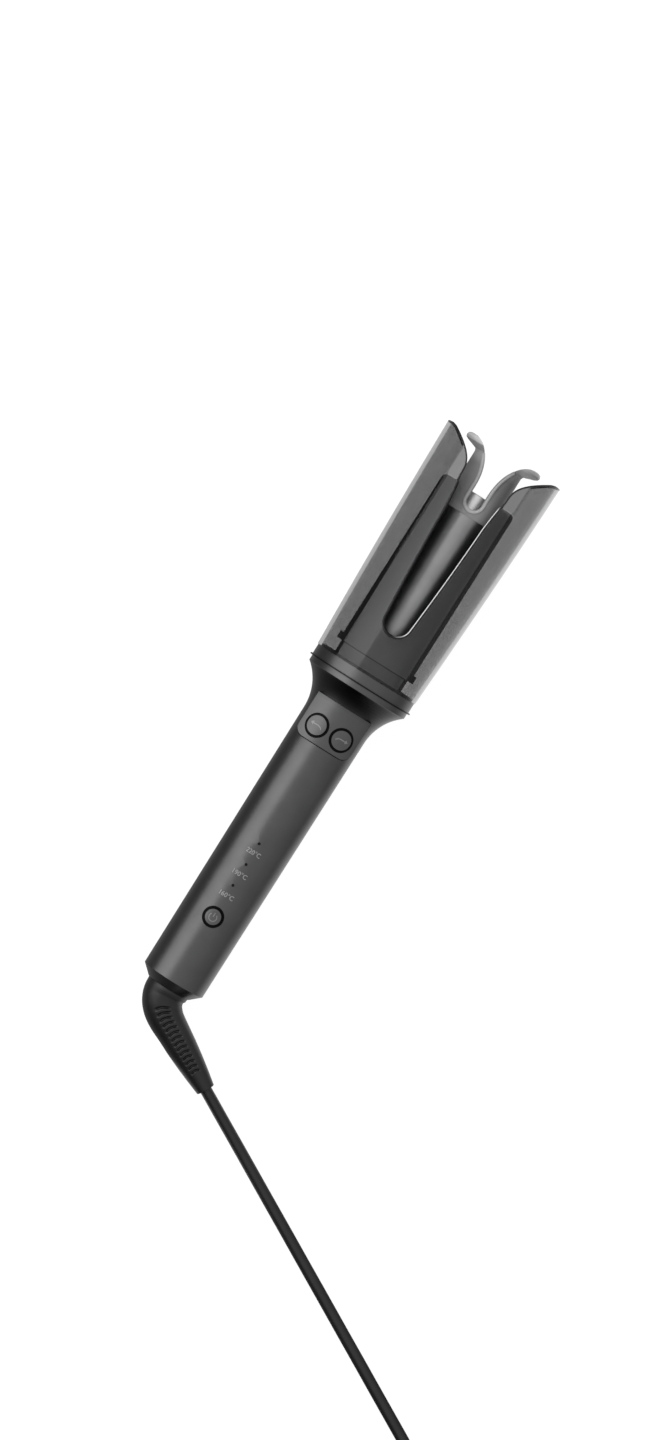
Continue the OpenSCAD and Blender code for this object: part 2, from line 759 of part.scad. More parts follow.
module thermal_fuse() color("#c9ccd0") lie_down()
    rod(0, 6, core_y + 1, core_y + 12, 1.9);

module thermistor() color("#c98f5a") lie_down()
    rod(0, -6, core_y + 6, core_y + 15, 1.15);

module core_cap() color("#cfd1d4") lie_down() {
    rod(0, 0, core_top, core_top + 2, core_r - 0.2);
    rod(0, 0, core_top + 2, guide_low + 1.6, journal_r);
}

// Head base, chamber, lining, shell and collar

module head_base() color("#a4a5a8") lie_down() difference() {
    union() {
        rod(0, 0, shell_y, shell_y + base_t, collar_r - 2.8);
        ring(shell_y + base_t, seam_y, base_r, base_r - chamber_wall);
    }
    hole_at([0, 0], bush_r + fit);
}

// Half outline of the hair slot and the wing above it, seen from the front
function blend(p, q, s, t) = (1 - t) * (1 - t) * p + 2 * t * (1 - t) * q + t * t * s;
// The wing's edge leaves the slot upwards, then runs nearly straight out to its tip
function cubic(p, q, r, s, t) = pow(1 - t, 3) * p + 3 * (1 - t) * (1 - t) * t * q
    + 3 * (1 - t) * t * t * r + pow(t, 3) * s;
wing_pull = [[wing_gap, wing_y], [wing_gap, wing_y + 0.32 * wing_h],
             [wing_gap, wing_y + 0.52 * wing_h], [wing_end, tip_y - 0.7]];
function wing_point(t) = cubic(wing_pull[0], wing_pull[1], wing_pull[2], wing_pull[3], t);
function wing_slope(t) = unit(wing_point(min(1, t + 0.01)) - wing_point(max(0, t - 0.01)));
function wing_edge(grow, steps, from) = concat(
    [for (i = [0:steps]) let (t = from + (1 - from) * i / steps, d = wing_slope(t))
        wing_point(t) + grow * [d[1], -d[0]]],
    [[wing_end + 1, tip_y - 0.33 - grow], [wing_end + 2, tip_y - 0.2 - grow]]
);
function wing_find(x, low, high, n) = let (t = (low + high) / 2)
    n == 0 ? t : wing_point(t)[0] < x ? wing_find(x, t, high, n - 1) : wing_find(x, low, t, n - 1);
function slot_side(grow) = concat(
    [for (a = [-80:10:0]) [(slot_r + grow) * cos(a), slot_mid + (slot_r + grow) * sin(a)]],
    [for (i = [1:5]) blend([slot_r + grow, slot_mid],
                           [(slot_r + slot_mouth) / 2 + slot_bow + grow, slot_mid + 31.6],
                           [slot_mouth + grow, mouth_y], i / 6)],
    [for (i = [0:5]) blend([slot_mouth + grow, mouth_y], [slot_mouth + grow + 0.9, mouth_y + 12],
                           [wing_gap + grow, wing_y], i / 6)],
    wing_edge(grow, 14, 0),
    [[far, tip_y - 0.2 - grow], [far, tip_y + 20]]
);
module slot_cut(grow) linear_extrude(far) mirrored_outline(slot_side(grow));

module shell_solid(inset) turned(concat(
    [[0, shell_y], for (i = [0:shell_steps])
        let (y = shell_y + shell_len * i / shell_steps) [shell_out(y) - inset, y]],
    [[0, tip_y]]
));

module outer_shell() color([0.32, 0.33, 0.34, 0.75]) lie_down() difference() {
    shell_solid(0);
    turned(concat(
        [[0, shell_y - 1], [shell_in(shell_y), shell_y - 1]],
        [for (i = [0:shell_steps]) let (y = shell_y + shell_len * i / shell_steps) [shell_in(y), y]],
        [[shell_in(tip_y), tip_y + 1], [0, tip_y + 1]]
    ));
    slot_cut(0);
    back_from = wing_find(back_half, 0, 1, 20);
    translate([0, 0, -far]) linear_extrude(far) mirrored_outline(concat(
        [[back_half - 2, chamber_top],
         [back_half - 0.6, chamber_top + 0.6], [back_half, chamber_top + 2]],
        wing_edge(0, 10, back_from),
        [[far, tip_y - 0.2], [far, tip_y + 20]]
    ));
}

module chamber() color("#a4a5a8") lie_down() difference() {
    union() {
        turned(concat(
            [[0, seam_y], [chamber_r, seam_y]],
            [for (a = [0:15:90]) [chamber_r - chamber_round + chamber_round * cos(a),
                                  chamber_top - chamber_round + chamber_round * sin(a)]],
            [[0, chamber_top]]
        ));
        intersection() {
            slot_cut(cheek - lip);
            shell_solid(shell_wall + gap);
            block(far, seam_y, chamber_top, 0, far);
        }
        for (s = [-1, 1]) translate([s * (chamber_r + 0.3), 0, 0])
            block(1.2, seam_y, seam_y + 3.8, -2, 2);
    }
    rod(0, 0, 0, beyond, chamber_r - chamber_wall);
    slot_cut(-lip);
}

module chamber_lining() color("#b9bbbe") lie_down() difference() {
    ring(seam_y + 0.4, chamber_top - 0.5, chamber_r - chamber_wall - fit,
         chamber_r - chamber_wall - fit - lining_t);
    slot_cut(0);
}

module collar_ring() color("#47484a") lie_down() {
    ring(collar_y, shell_y, collar_r, collar_r - 2.7);
    ring(band_y + 0.95, collar_y, band_r - handle_wall - 0.05, band_r - handle_wall - 0.7);
    ring(shell_y, shell_y + base_t, shell_in(shell_y) - 0.1, collar_r - 2.7);
}

module trim_ring() color("#1b1c1e") lie_down()
    ring(trim_y, collar_y, trim_r, band_r - handle_wall);

// Strain relief and cord, placed straight on the table

function unit(v) = v / norm(v);
function slope(p, i) = unit(p[min(i + 1, len(p) - 1)] - p[max(i - 1, 0)]);
// A ring of n points round p[i], square to the path, first point sideways
function round_ring(p, i, r, n) =
    let (d = slope(p, i), side = unit(cross(d, [0, 0, 1])), up = cross(side, d))
    [for (k = [0:n - 1]) let (a = 360 * (k + 0.5) / n) p[i] + r * (cos(a) * side + sin(a) * up)];
// One closed tube along the path p, with a radius for each point
module tube(p, radii, n) {
    m = len(p);
    polyhedron(
        points = [for (i = [0:m - 1]) each round_ring(p, i, radii[i], n)],
        faces = concat(
            [[for (k = [n - 1:-1:0]) k]],
            [for (i = [0:m - 2], k = [0:n - 1]) let (a = i * n + k, b = i * n + (k + 1) % n)
                each [[a, b + n, a + n], [a, b, b + n]]],
            [[for (k = [0:n - 1]) (m - 1) * n + k]]
        ),
        convexity = 10
    );
}

// Points chosen along the moulded boot and their radii; the first is the cap's face
boot_path = [
    [0, -middle_y, lift], [0, -middle_y - 3 * cos(tilt), lift - 3 * sin(tilt)],
    [0.5, -160, 15.9], [1.8, -162.8, 15.7], [4.3, -165.8, 15.4], [8.2, -168.7, 15],
    [14.3, -172, 14.3], [21, -175.7, 13.4],
    [28, -179.5, 12.3], [35, -183.3, 11.1], [42, -187.1, 9.9]
];
boot_radii = [11.1, 10.9, 10.5, 10, 9.4, 8.8, 8.2, 7.7, 6.9, 5.9, 4.7];

// Grooves across the boot's front and back, between its plain sides
groove_pitch = 2.7;
groove_w = 0.9;
groove_depth = 1.1;
groove_first = 9.5;
function run_to(i) = i == 0 ? 0 : run_to(i - 1) + norm(boot_path[i] - boot_path[i - 1]);
function piece_at(s) = max([for (i = [0:len(boot_path) - 2]) if (run_to(i) <= s) i]);
module boot_grooves() for (k = [0:13]) {
    s = groove_first + groove_pitch * k;
    i = piece_at(s);
    t = (s - run_to(i)) / (run_to(i + 1) - run_to(i));
    p = (1 - t) * boot_path[i] + t * boot_path[i + 1];
    r = (1 - t) * boot_radii[i] + t * boot_radii[i + 1];
    d = unit(boot_path[i + 1] - boot_path[i]);
    side = unit(cross(d, [0, 0, 1]));
    up = cross(d, side);
    multmatrix([for (j = [0:2]) [d[j], side[j], up[j], p[j]]])
        for (z = [r - groove_depth, -r - 1]) translate([-groove_w / 2, -0.34 * r, z])
            cube([groove_w, 0.68 * r, groove_depth + 1]);
}

module strain_relief() color("#18191b") {
    difference() {
        tube(boot_path, boot_radii, 24);
        boot_grooves();
    }
    lie_down() {
        rod(0, 0, -0.5, cap_len + 0.1, boot_spigot_r - fit);
        rod(0, 0, cap_len + 0.1, cap_len + 2.4, 10);
        rod(0, 0, cap_len + 2.4, cap_len + 17.4, cord_r);
    }
}

// The cord's free stretch, from the boot's tip to the coil
lead_path = [
    [42, -187.1, 9.9], [48, -190.3, 8.9], [54, -193.6, 7.9], [62, -197.9, 6.6],
    [72, -203.3, 5.2], [84, -209.8, 4.1], [98, -217.4, 3.4], [114, -226, 3.1],
    [130, -234.7, 3.1], [146, -243.3, 3.1], [162, -252, 3.1], [178, -260.6, 3.1],
    [194, -269.3, 3.1], [210, -277.9, 3.2], [224, -285.5, 3.4], [236, -292, 3.7],
    [246, -297.3, 3.9]
];

module cord_lead() color("#141516") tube(lead_path, [for (p = lead_path) cord_r], 8);

// The coil: in along the lower layer, up in the half turn where it turns
// back, and out along the upper layer, all clockwise seen from above
loop_steps = 24;
lead_end = lead_path[len(lead_path) - 1];
before_end = lead_path[len(lead_path) - 2];
heading = unit([lead_end[0] - before_end[0], lead_end[1] - before_end[1]]);
coil_start = [lead_end[0], lead_end[1]] + 6 * heading;
coil_outer_r = coil_inner_r + layer_turns * turn_pitch;
coil_side = [heading[1], -heading[0]];
coil_mid = coil_start + coil_outer_r * coil_side;
start_angle = atan2(-coil_side[1], -coil_side[0]);
coil_low = lead_end[2];
coil_turns = 2 * layer_turns + 0.5;
climb_dip = 0.8;  // the climbing half turn runs this much tighter
function coil_radius(t) = let (u = abs(t - coil_turns / 2))
    coil_inner_r + turn_pitch * max(0, u - 0.25) - climb_dip * max(0, cos(180 * min(u, 0.5)));
function coil_height(t) =
    coil_low + turn_pitch * min(1, max(0, (t - coil_turns / 2 + 0.25) / 0.5));
function coil_point(t) = let (a = start_angle - 360 * t)
    [coil_mid[0] + coil_radius(t) * cos(a), coil_mid[1] + coil_radius(t) * sin(a), coil_height(t)];
coil_end = coil_point(coil_turns);
tail_run = 8;
plug_neck_run = 34;
plug_z = plug_t / 2;
tail_end = [coil_end[0] + plug_neck_run * heading[0], coil_end[1] + plug_neck_run * heading[1], plug_z];
coil_path = concat(
    [lead_end],
    [for (i = [0:coil_turns * loop_steps]) coil_point(i / loop_steps)],
    [[coil_end[0] + tail_run * heading[0], coil_end[1] + tail_run * heading[1], coil_end[2] - 0.4],
     [coil_end[0] + 17 * heading[0], coil_end[1] + 17 * heading[1], (coil_end[2] + plug_z) / 2],
     [tail_end[0] - tail_run * heading[0], tail_end[1] - tail_run * heading[1], plug_z],
     tail_end]
);
// Least distance between stretches of the coil that aren't neighbours, less the cord
function coil_gap() = min([for (i = [0:len(coil_path) - 1], j = [i + loop_steps / 2:len(coil_path) - 1])
    norm(coil_path[i] - coil_path[j])]) - cord_d;
echo(least_gap_in_coil = coil_gap());

module cord_coil() color("#141516") tube(coil_path, [for (p = coil_path) cord_r], 6);

tie_angle = start_angle + 200;
module cord_tie() color("#0f1011")
    translate([coil_mid[0], coil_mid[1], 0]) rotate([0, 0, tie_angle]) difference() {
        low = coil_inner_r - climb_dip - cord_r - 1;
        high = coil_outer_r + cord_r + 0.6;
        top = coil_low + turn_pitch + cord_r + gap;
        translate([low - tie_t, -tie_w / 2, 0])
            cube([high - low + 2 * tie_t, tie_w, top + tie_t]);
        translate([low, -tie_w, tie_t]) cube([high - low, 2 * tie_w, top - tie_t]);
    }

// The plug lies flat beside the coil, pins pointing away from it
plug_len = 33;
neck_of_plug = 14;
plug_turn = atan2(heading[1], heading[0]);
module at_plug() translate(tail_end) rotate([0, 0, plug_turn]) children();
module plug_outline(w, t) polygon([
    for (s = [[-1, -1], [1, -1], [1, 1], [-1, 1]])
        each (s[0] * s[1] > 0
            ? [[s[0] * t / 2, s[1] * (w / 2 - 5)], [s[0] * (t / 2 - 5), s[1] * w / 2]]
            : [[s[0] * (t / 2 - 5), s[1] * w / 2], [s[0] * t / 2, s[1] * (w / 2 - 5)]])
]);
pin_lean = 1.66;
module pin_place(side) at_plug() translate([neck_of_plug + plug_len, side * pin_gap / 2, 0])
    rotate([0, 90, -side * pin_lean]) children();

module plug_body() color("#17181a") {
    difference() {
        at_plug() union() {
            rotate([0, 90, 0]) cylinder(h = neck_of_plug + 1, r1 = 3.8, r2 = 5.2, $fn = 48);
            hull() {
                translate([neck_of_plug, 0, 0]) rotate([0, 90, 0])
                    linear_extrude(0.5) plug_outline(15, 11);
                translate([neck_of_plug + 24, 0, 0]) rotate([0, 90, 0])
                    linear_extrude(0.5) plug_outline(plug_w - 3, plug_t);
            }
            translate([neck_of_plug + 24, 0, 0]) rotate([0, 90, 0])
                linear_extrude(plug_len - 24) plug_outline(plug_w, plug_t);
        }
        for (side = [-1, 1]) pin_place(side) translate([0, 0, -12])
            cylinder(h = 14, r = 1.5 + fit, $fn = 32);
    }
}

module plug_pins() color("#c9ccd0") for (side = [-1, 1]) pin_place(side) {
    translate([0, 0, -11]) cylinder(h = 12, r = 1.5, $fn = 32);
    cylinder(h = pin_len - 1, r = pin_r, $fn = 48);
    translate([0, 0, pin_len - 1]) cylinder(h = 1, r1 = pin_r, r2 = pin_r - 0.9, $fn = 48);
}

handle_front();
handle_rear();
button_panel();
button_bezels();
turn_button(-1);  // left_button
turn_button(1);  // right_button
power_button();
actuator(-switch_x, turn_at);  // left_actuator
actuator(switch_x, turn_at);  // right_actuator
actuator(0, power_y);  // power_actuator
tact_switch(-switch_x, turn_at);  // left_switch
tact_switch(switch_x, turn_at);  // right_switch
tact_switch(0, power_y);  // power_switch
heat_lights();
indicator_lamps();
control_board();
terminal_block();
filter_capacitor();
heater_triac();
smoothing_capacitor();
end_cap();
strain_relief();
cord_clamp();
clamp_screws();
handle_screws();
gear_plate();
bearing_plate();
gearbox_screws();
motor();
gear_head();
motor_screws();
motor_shaft();
motor_pinion();
idler_gear();
idler_pin();
barrel_gear();
barrel_hub();
lower_bush();
upper_bush();
barrel();
hair_guide();
heater_stem();
heater_core_front();
heater_core_rear();
heating_ceramic();
core_cap();
thermistor();
thermal_fuse();
head_base();
chamber();
chamber_lining();
outer_shell();
collar_ring();
trim_ring();
cord_lead();
cord_coil();
cord_tie();
plug_body();
plug_pins();
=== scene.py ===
import json
import math

import bmesh
import bpy
from mathutils import Matrix, Vector


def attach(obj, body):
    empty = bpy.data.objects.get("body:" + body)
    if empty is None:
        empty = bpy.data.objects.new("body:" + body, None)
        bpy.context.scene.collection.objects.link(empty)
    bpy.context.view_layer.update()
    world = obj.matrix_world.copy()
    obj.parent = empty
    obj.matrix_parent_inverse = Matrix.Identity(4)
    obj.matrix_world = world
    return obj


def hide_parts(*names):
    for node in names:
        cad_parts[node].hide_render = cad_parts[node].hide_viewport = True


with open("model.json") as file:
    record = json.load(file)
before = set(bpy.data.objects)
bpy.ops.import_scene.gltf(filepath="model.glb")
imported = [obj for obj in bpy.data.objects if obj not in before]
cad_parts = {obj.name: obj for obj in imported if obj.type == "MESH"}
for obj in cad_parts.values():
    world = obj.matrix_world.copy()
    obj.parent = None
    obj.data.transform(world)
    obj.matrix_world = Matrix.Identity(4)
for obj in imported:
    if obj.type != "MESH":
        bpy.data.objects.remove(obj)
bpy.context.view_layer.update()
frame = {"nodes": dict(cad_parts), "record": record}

nodes = frame["nodes"]

# How the handle lies on the table, as in the part's source, in metres
lie = {"tilt": math.atan(12.0 / 171.3), "lift": 0.016339, "middle": 0.154370}
lieMatrix = Matrix.Translation((0, -lie["middle"], lie["lift"])) @ Matrix.Rotation(lie["tilt"], 4, "X")


def lieDown(x, y, z):
    return lieMatrix @ Vector((x, y, z))


# Camera, as the photograph was taken: a long lens nearly square to the handle
cameraPlace = {
    "lean": 32.2,          # degrees that the handle leans clockwise in the picture
    "tip": 2.6,            # degrees from straight above, towards the cord end
    "distance": 2.8,
    "frameHeight": 0.7056,  # metres that the picture's height covers at the handle
    "target": (-0.00255, 0.1535, 0.0),
}


def makeCamera(place):
    data = bpy.data.cameras.new("studioCamera")
    data.sensor_width = 36
    data.lens = 36 * place["distance"] / place["frameHeight"]
    data.clip_start, data.clip_end = 0.05, 20
    camera = bpy.data.objects.new("studioCamera", data)
    bpy.context.scene.collection.objects.link(camera)
    tip, lean = math.radians(place["tip"]), math.radians(place["lean"])
    back = Vector((0, -math.sin(tip), math.cos(tip)))
    up = Vector((-math.sin(lean), math.cos(lean), 0))
    up = (up - back * up.dot(back)).normalized()
    right = up.cross(back)
    turn = Matrix((right, up, back)).transposed().to_4x4()
    camera.matrix_world = Matrix.Translation(lieDown(*place["target"]) + back * place["distance"]) @ turn
    bpy.context.scene.camera = camera


makeCamera(cameraPlace)
print("camera ready")

# Materials


def newMaterial(name):
    material = bpy.data.materials.new(name)
    material.use_nodes = True
    tree = material.node_tree
    tree.nodes.clear()
    output = tree.nodes.new("ShaderNodeOutputMaterial")
    shader = tree.nodes.new("ShaderNodeBsdfPrincipled")
    tree.links.new(shader.outputs["BSDF"], output.inputs["Surface"])
    return material, tree, shader


def addNoise(tree, coordinates, scale, detail=2.0, roughness=0.5, stretch=None):
    noise = tree.nodes.new("ShaderNodeTexNoise")
    noise.inputs["Scale"].default_value = scale
    noise.inputs["Detail"].default_value = detail
    noise.inputs["Roughness"].default_value = roughness
    if stretch:
        mapping = tree.nodes.new("ShaderNodeMapping")
        mapping.inputs["Rotation"].default_value = (-lie["tilt"], 0, 0)
        mapping.inputs["Scale"].default_value = stretch
        tree.links.new(coordinates, mapping.inputs["Vector"])
        tree.links.new(mapping.outputs["Vector"], noise.inputs["Vector"])
    else:
        tree.links.new(coordinates, noise.inputs["Vector"])
    return noise.outputs["Fac"]


def addRamp(tree, source, low, high, start=0.3, end=0.7):
    ramp = tree.nodes.new("ShaderNodeMapRange")
    ramp.inputs["From Min"].default_value = start
    ramp.inputs["From Max"].default_value = end
    ramp.inputs["To Min"].default_value = low
    ramp.inputs["To Max"].default_value = high
    tree.links.new(source, ramp.inputs["Value"])
    return ramp.outputs["Result"]


def addColours(tree, source, first, second):
    ramp = tree.nodes.new("ShaderNodeValToRGB")
    for element, place, colour in zip(ramp.color_ramp.elements, (0.35, 0.65), (first, second)):
        element.position = place
        element.color = (*colour, 1)
    tree.links.new(source, ramp.inputs["Fac"])
    return ramp.outputs["Color"]


# One kind of sum carried along a row of numbers and sockets
def addMath(tree, kind, first, *others):
    for other in others:
        node = tree.nodes.new("ShaderNodeMath")
        node.operation = kind
        for socket, value in zip(node.inputs, (first, other)):
            if isinstance(value, float):
                socket.default_value = value
            else:
                tree.links.new(value, socket)
        first = node.outputs[0]
    return first


def addMix(tree, factor, first, second, kind="MIX"):
    mix = tree.nodes.new("ShaderNodeMix")
    mix.data_type, mix.blend_type = "RGBA", kind
    tree.links.new(factor, mix.inputs["Factor"])
    for name, colour in (("A", first), ("B", second)):
        if isinstance(colour, tuple):
            mix.inputs[name].default_value = (*colour, 1)
        else:
            tree.links.new(colour, mix.inputs[name])
    return mix.outputs["Result"]


def addBump(tree, shader, source, strength, distance=0.0001):
    bump = tree.nodes.new("ShaderNodeBump")
    bump.inputs["Strength"].default_value = strength
    bump.inputs["Distance"].default_value = distance
    tree.links.new(source, bump.inputs["Height"])
    tree.links.new(bump.outputs["Normal"], shader.inputs["Normal"])


def addSplit(tree, source):
    split = tree.nodes.new("ShaderNodeSeparateXYZ")
    tree.links.new(source, split.inputs["Vector"])
    return split.outputs


def objectPlaces(tree):
    return tree.nodes.new("ShaderNodeTexCoord").outputs["Object"]


# Places on the object in its own upright frame, from the end cap's face, in metres
def uprightPlaces(tree):
    mapping = tree.nodes.new("ShaderNodeMapping")
    mapping.inputs["Rotation"].default_value = (-lie["tilt"], 0, 0)
    mapping.inputs["Location"].default_value = lieMatrix.inverted().translation
    tree.links.new(objectPlaces(tree), mapping.inputs["Vector"])
    return addSplit(tree, mapping.outputs["Vector"])


# Fine grain on the surface; the gloss follows the same noise
def addGrain(tree, shader, values):
    grain = addNoise(tree, objectPlaces(tree), values["grain"], roughness=0.6)
    addBump(tree, shader, grain, values["bump"])
    return addRamp(tree, grain, *values["gloss"])


# One entry for each finish: two close colours, gloss, and the grain that carries them
finishes = {
    "satinGunmetal": {"dark": (0.099, 0.099, 0.100), "light": (0.107, 0.107, 0.108), "gloss": (0.33, 0.38),
                      "metal": 1.0, "grain": 5200, "bump": 0.05, "mottle": 90},
    "satinGrey": {"dark": (0.108, 0.108, 0.109), "light": (0.118, 0.118, 0.119), "gloss": (0.34, 0.40),
                  "metal": 0.9, "grain": 4200, "bump": 0.04, "mottle": 110},
    "guideGrey": {"dark": (0.39, 0.39, 0.393), "light": (0.42, 0.42, 0.423), "gloss": (0.36, 0.42),
                  "metal": 0.0, "grain": 4200, "bump": 0.04, "mottle": 110},
    # The beads' grey is the guide's made paler, a painted highlight on their rounded tops
    "beadPaintedHighlight": {"dark": (0.66, 0.66, 0.663), "light": (0.69, 0.69, 0.693), "gloss": (0.34, 0.40),
                 "metal": 0.0, "grain": 4200, "bump": 0.03, "mottle": 110},
    "printGrey": {"dark": (0.42, 0.42, 0.42), "light": (0.47, 0.47, 0.47), "gloss": (0.50, 0.58),
                  "metal": 0.0, "grain": 3000, "bump": 0.04, "mottle": 300},
    "symbolGrey": {"dark": (0.25, 0.25, 0.25), "light": (0.28, 0.28, 0.28), "gloss": (0.36, 0.44),
                   "metal": 0.4, "grain": 3000, "bump": 0.04, "mottle": 300},
    "glossBlack": {"dark": (0.003, 0.003, 0.003), "light": (0.005, 0.005, 0.005), "gloss": (0.20, 0.28),
                   "metal": 0.0, "grain": 2500, "bump": 0.02, "mottle": 140, "specular": 0.04},
    "satinBlack": {"dark": (0.006, 0.006, 0.007), "light": (0.009, 0.009, 0.010), "gloss": (0.26, 0.34),
                   "metal": 0.0, "grain": 3600, "bump": 0.06, "mottle": 120, "specular": 0.35},
    "rubberBlack": {"dark": (0.006, 0.006, 0.0065), "light": (0.009, 0.009, 0.0095), "gloss": (0.36, 0.44),
                    "metal": 0.0, "grain": 3000, "bump": 0.06, "mottle": 100, "specular": 0.5},
    "smokedEdge": {"dark": (0.008, 0.008, 0.009), "light": (0.012, 0.012, 0.013), "gloss": (0.14, 0.20),
                   "metal": 0.0, "grain": 2500, "bump": 0.02, "mottle": 120, "specular": 0.4},
    "barrelCoat": {"dark": (0.32, 0.32, 0.325), "light": (0.35, 0.35, 0.355), "gloss": (0.40, 0.44),
                   "metal": 1.0, "grain": 4500, "bump": 0.04, "mottle": 90},
    "darkTrim": {"dark": (0.004, 0.004, 0.0045), "light": (0.006, 0.006, 0.0065), "gloss": (0.26, 0.32),
                 "metal": 0.0, "grain": 3000, "bump": 0.03, "mottle": 100, "specular": 0.2},
    "innerPlastic": {"dark": (0.030, 0.030, 0.032), "light": (0.040, 0.040, 0.042), "gloss": (0.45, 0.55),
                     "metal": 0.0, "grain": 2500, "bump": 0.05, "mottle": 90},
    "smokedLight": {"dark": (0.003, 0.003, 0.003), "light": (0.005, 0.005, 0.005), "gloss": (0.18, 0.24),
                    "metal": 0.0, "grain": 2000, "bump": 0.02, "mottle": 100, "specular": 0.15},
    "clearResin": {"dark": (0.70, 0.68, 0.62), "light": (0.78, 0.76, 0.70), "gloss": (0.20, 0.28),
                   "metal": 0.0, "grain": 2000, "bump": 0.02, "mottle": 100},
    "boardLacquer": {"dark": (0.015, 0.09, 0.035), "light": (0.022, 0.12, 0.05), "gloss": (0.25, 0.35),
                     "metal": 0.0, "grain": 1600, "bump": 0.10, "mottle": 240},
    "terminalBlue": {"dark": (0.05, 0.15, 0.34), "light": (0.06, 0.18, 0.38), "gloss": (0.35, 0.45),
                     "metal": 0.0, "grain": 2500, "bump": 0.05, "mottle": 90},
    "filterYellow": {"dark": (0.55, 0.36, 0.05), "light": (0.62, 0.41, 0.07), "gloss": (0.30, 0.40),
                     "metal": 0.0, "grain": 2500, "bump": 0.04, "mottle": 90},
    "canBlue": {"dark": (0.05, 0.07, 0.18), "light": (0.06, 0.09, 0.22), "gloss": (0.28, 0.36),
                "metal": 0.2, "grain": 2500, "bump": 0.03, "mottle": 90},
    "zincPlate": {"dark": (0.46, 0.47, 0.49), "light": (0.54, 0.55, 0.57), "gloss": (0.24, 0.34),
                  "metal": 1.0, "grain": 5000, "bump": 0.05, "mottle": 160},
    "bareSteel": {"dark": (0.50, 0.50, 0.51), "light": (0.58, 0.58, 0.59), "gloss": (0.24, 0.32),
                  "metal": 1.0, "grain": 4000, "bump": 0.05, "mottle": 160},
    "brass": {"dark": (0.52, 0.36, 0.14), "light": (0.60, 0.43, 0.18), "gloss": (0.24, 0.32),
              "metal": 1.0, "grain": 4000, "bump": 0.04, "mottle": 160},
    "bronze": {"dark": (0.40, 0.22, 0.09), "light": (0.48, 0.28, 0.12), "gloss": (0.40, 0.52),
               "metal": 1.0, "grain": 5200, "bump": 0.15, "mottle": 200},
    "nylon": {"dark": (0.70, 0.66, 0.55), "light": (0.76, 0.72, 0.61), "gloss": (0.40, 0.48),
              "metal": 0.0, "grain": 3000, "bump": 0.04, "mottle": 100},
    "bareAluminium": {"dark": (0.56, 0.57, 0.58), "light": (0.64, 0.65, 0.66), "gloss": (0.34, 0.42),
                      "metal": 1.0, "grain": 3000, "bump": 0.05, "mottle": 120},
    "whiteCeramic": {"dark": (0.66, 0.63, 0.57), "light": (0.74, 0.71, 0.65), "gloss": (0.50, 0.62),
                     "metal": 0.0, "grain": 4500, "bump": 0.12, "mottle": 140},
    "sensorCoat": {"dark": (0.42, 0.20, 0.08), "light": (0.50, 0.26, 0.11), "gloss": (0.35, 0.45),
                   "metal": 0.0, "grain": 3000, "bump": 0.05, "mottle": 140},
    "nickel": {"dark": (0.60, 0.58, 0.55), "light": (0.68, 0.66, 0.63), "gloss": (0.14, 0.20),
               "metal": 1.0, "grain": 3000, "bump": 0.02, "mottle": 120},
}


def makeFinish(name, values):
    material, tree, shader = newMaterial(name)
    mottle = addNoise(tree, objectPlaces(tree), values["mottle"])
    tree.links.new(addColours(tree, mottle, values["dark"], values["light"]), shader.inputs["Base Color"])
    tree.links.new(addGrain(tree, shader, values), shader.inputs["Roughness"])
    shader.inputs["Metallic"].default_value = values["metal"]
    shader.inputs["Specular IOR Level"].default_value = values.get("specular", 0.5)
    return material


materials = {name: makeFinish(name, values) for name, values in finishes.items()}


# Colours a finish once more, as far as the factor goes
def recolour(material, factor, colour, kind="MIX"):
    tree = material.node_tree
    base = tree.nodes["Principled BSDF"].inputs["Base Color"]
    tree.links.new(addMix(tree, factor, base.links[0].from_socket, colour, kind), base)


# The handle's gunmetal, with painted shade in the hollow of the neck below the band and on the end cap's
# chamfer
neckPaintedShade = {"from": 0.1605, "to": 0.1715, "shade": (0.16, 0.16, 0.16), "bandY": 0.1729, "bandSoft": 0.0002,
             "capY": 0.0042, "capSoft": 0.0003, "capShade": 0.6}


# Painted shade: the colour is darkened over the neck's hollow and the cap's chamfer
def addNeckPaintedShade(material, values):
    tree = material.node_tree
    y = uprightPlaces(tree)["Y"]
    neck = addRamp(tree, y, 0.0, 1.0, values["from"], values["to"])
    below = addRamp(tree, y, 1.0, 0.0, values["bandY"] - values["bandSoft"], values["bandY"])
    cap = addRamp(tree, y, values["capShade"], 0.0, values["capY"], values["capY"] + values["capSoft"])
    dark = addMath(tree, "MAXIMUM", addMath(tree, "MULTIPLY", neck, below), cap)
    recolour(material, dark, values["shade"], "MULTIPLY")


addNeckPaintedShade(materials["satinGunmetal"], neckPaintedShade)

# Painted light: the guide is paler on the tips of its horns, which stand clear of the shell
tipPaintedLight = {"from": 0.298, "to": 0.305, "pale": (0.88, 0.88, 0.883)}


# Painted light: the colour is made paler above the given height
def addTipPaintedLight(material, values):
    tree = material.node_tree
    tip = addRamp(tree, uprightPlaces(tree)["Y"], 0.0, 1.0, values["from"], values["to"])
    recolour(material, tip, values["pale"])


addTipPaintedLight(materials["guideGrey"], tipPaintedLight)

# Painted shade on the buttons' edges, darkening them into their bezels: x, y and radius of each face's even
# part
buttonRimPaintedShade = {"spots": ((0.0, 0.042, 0.00385), (0.0071, 0.1481, 0.00475)), "fade": 0.0002,
              "shade": (0.03, 0.03, 0.03)}


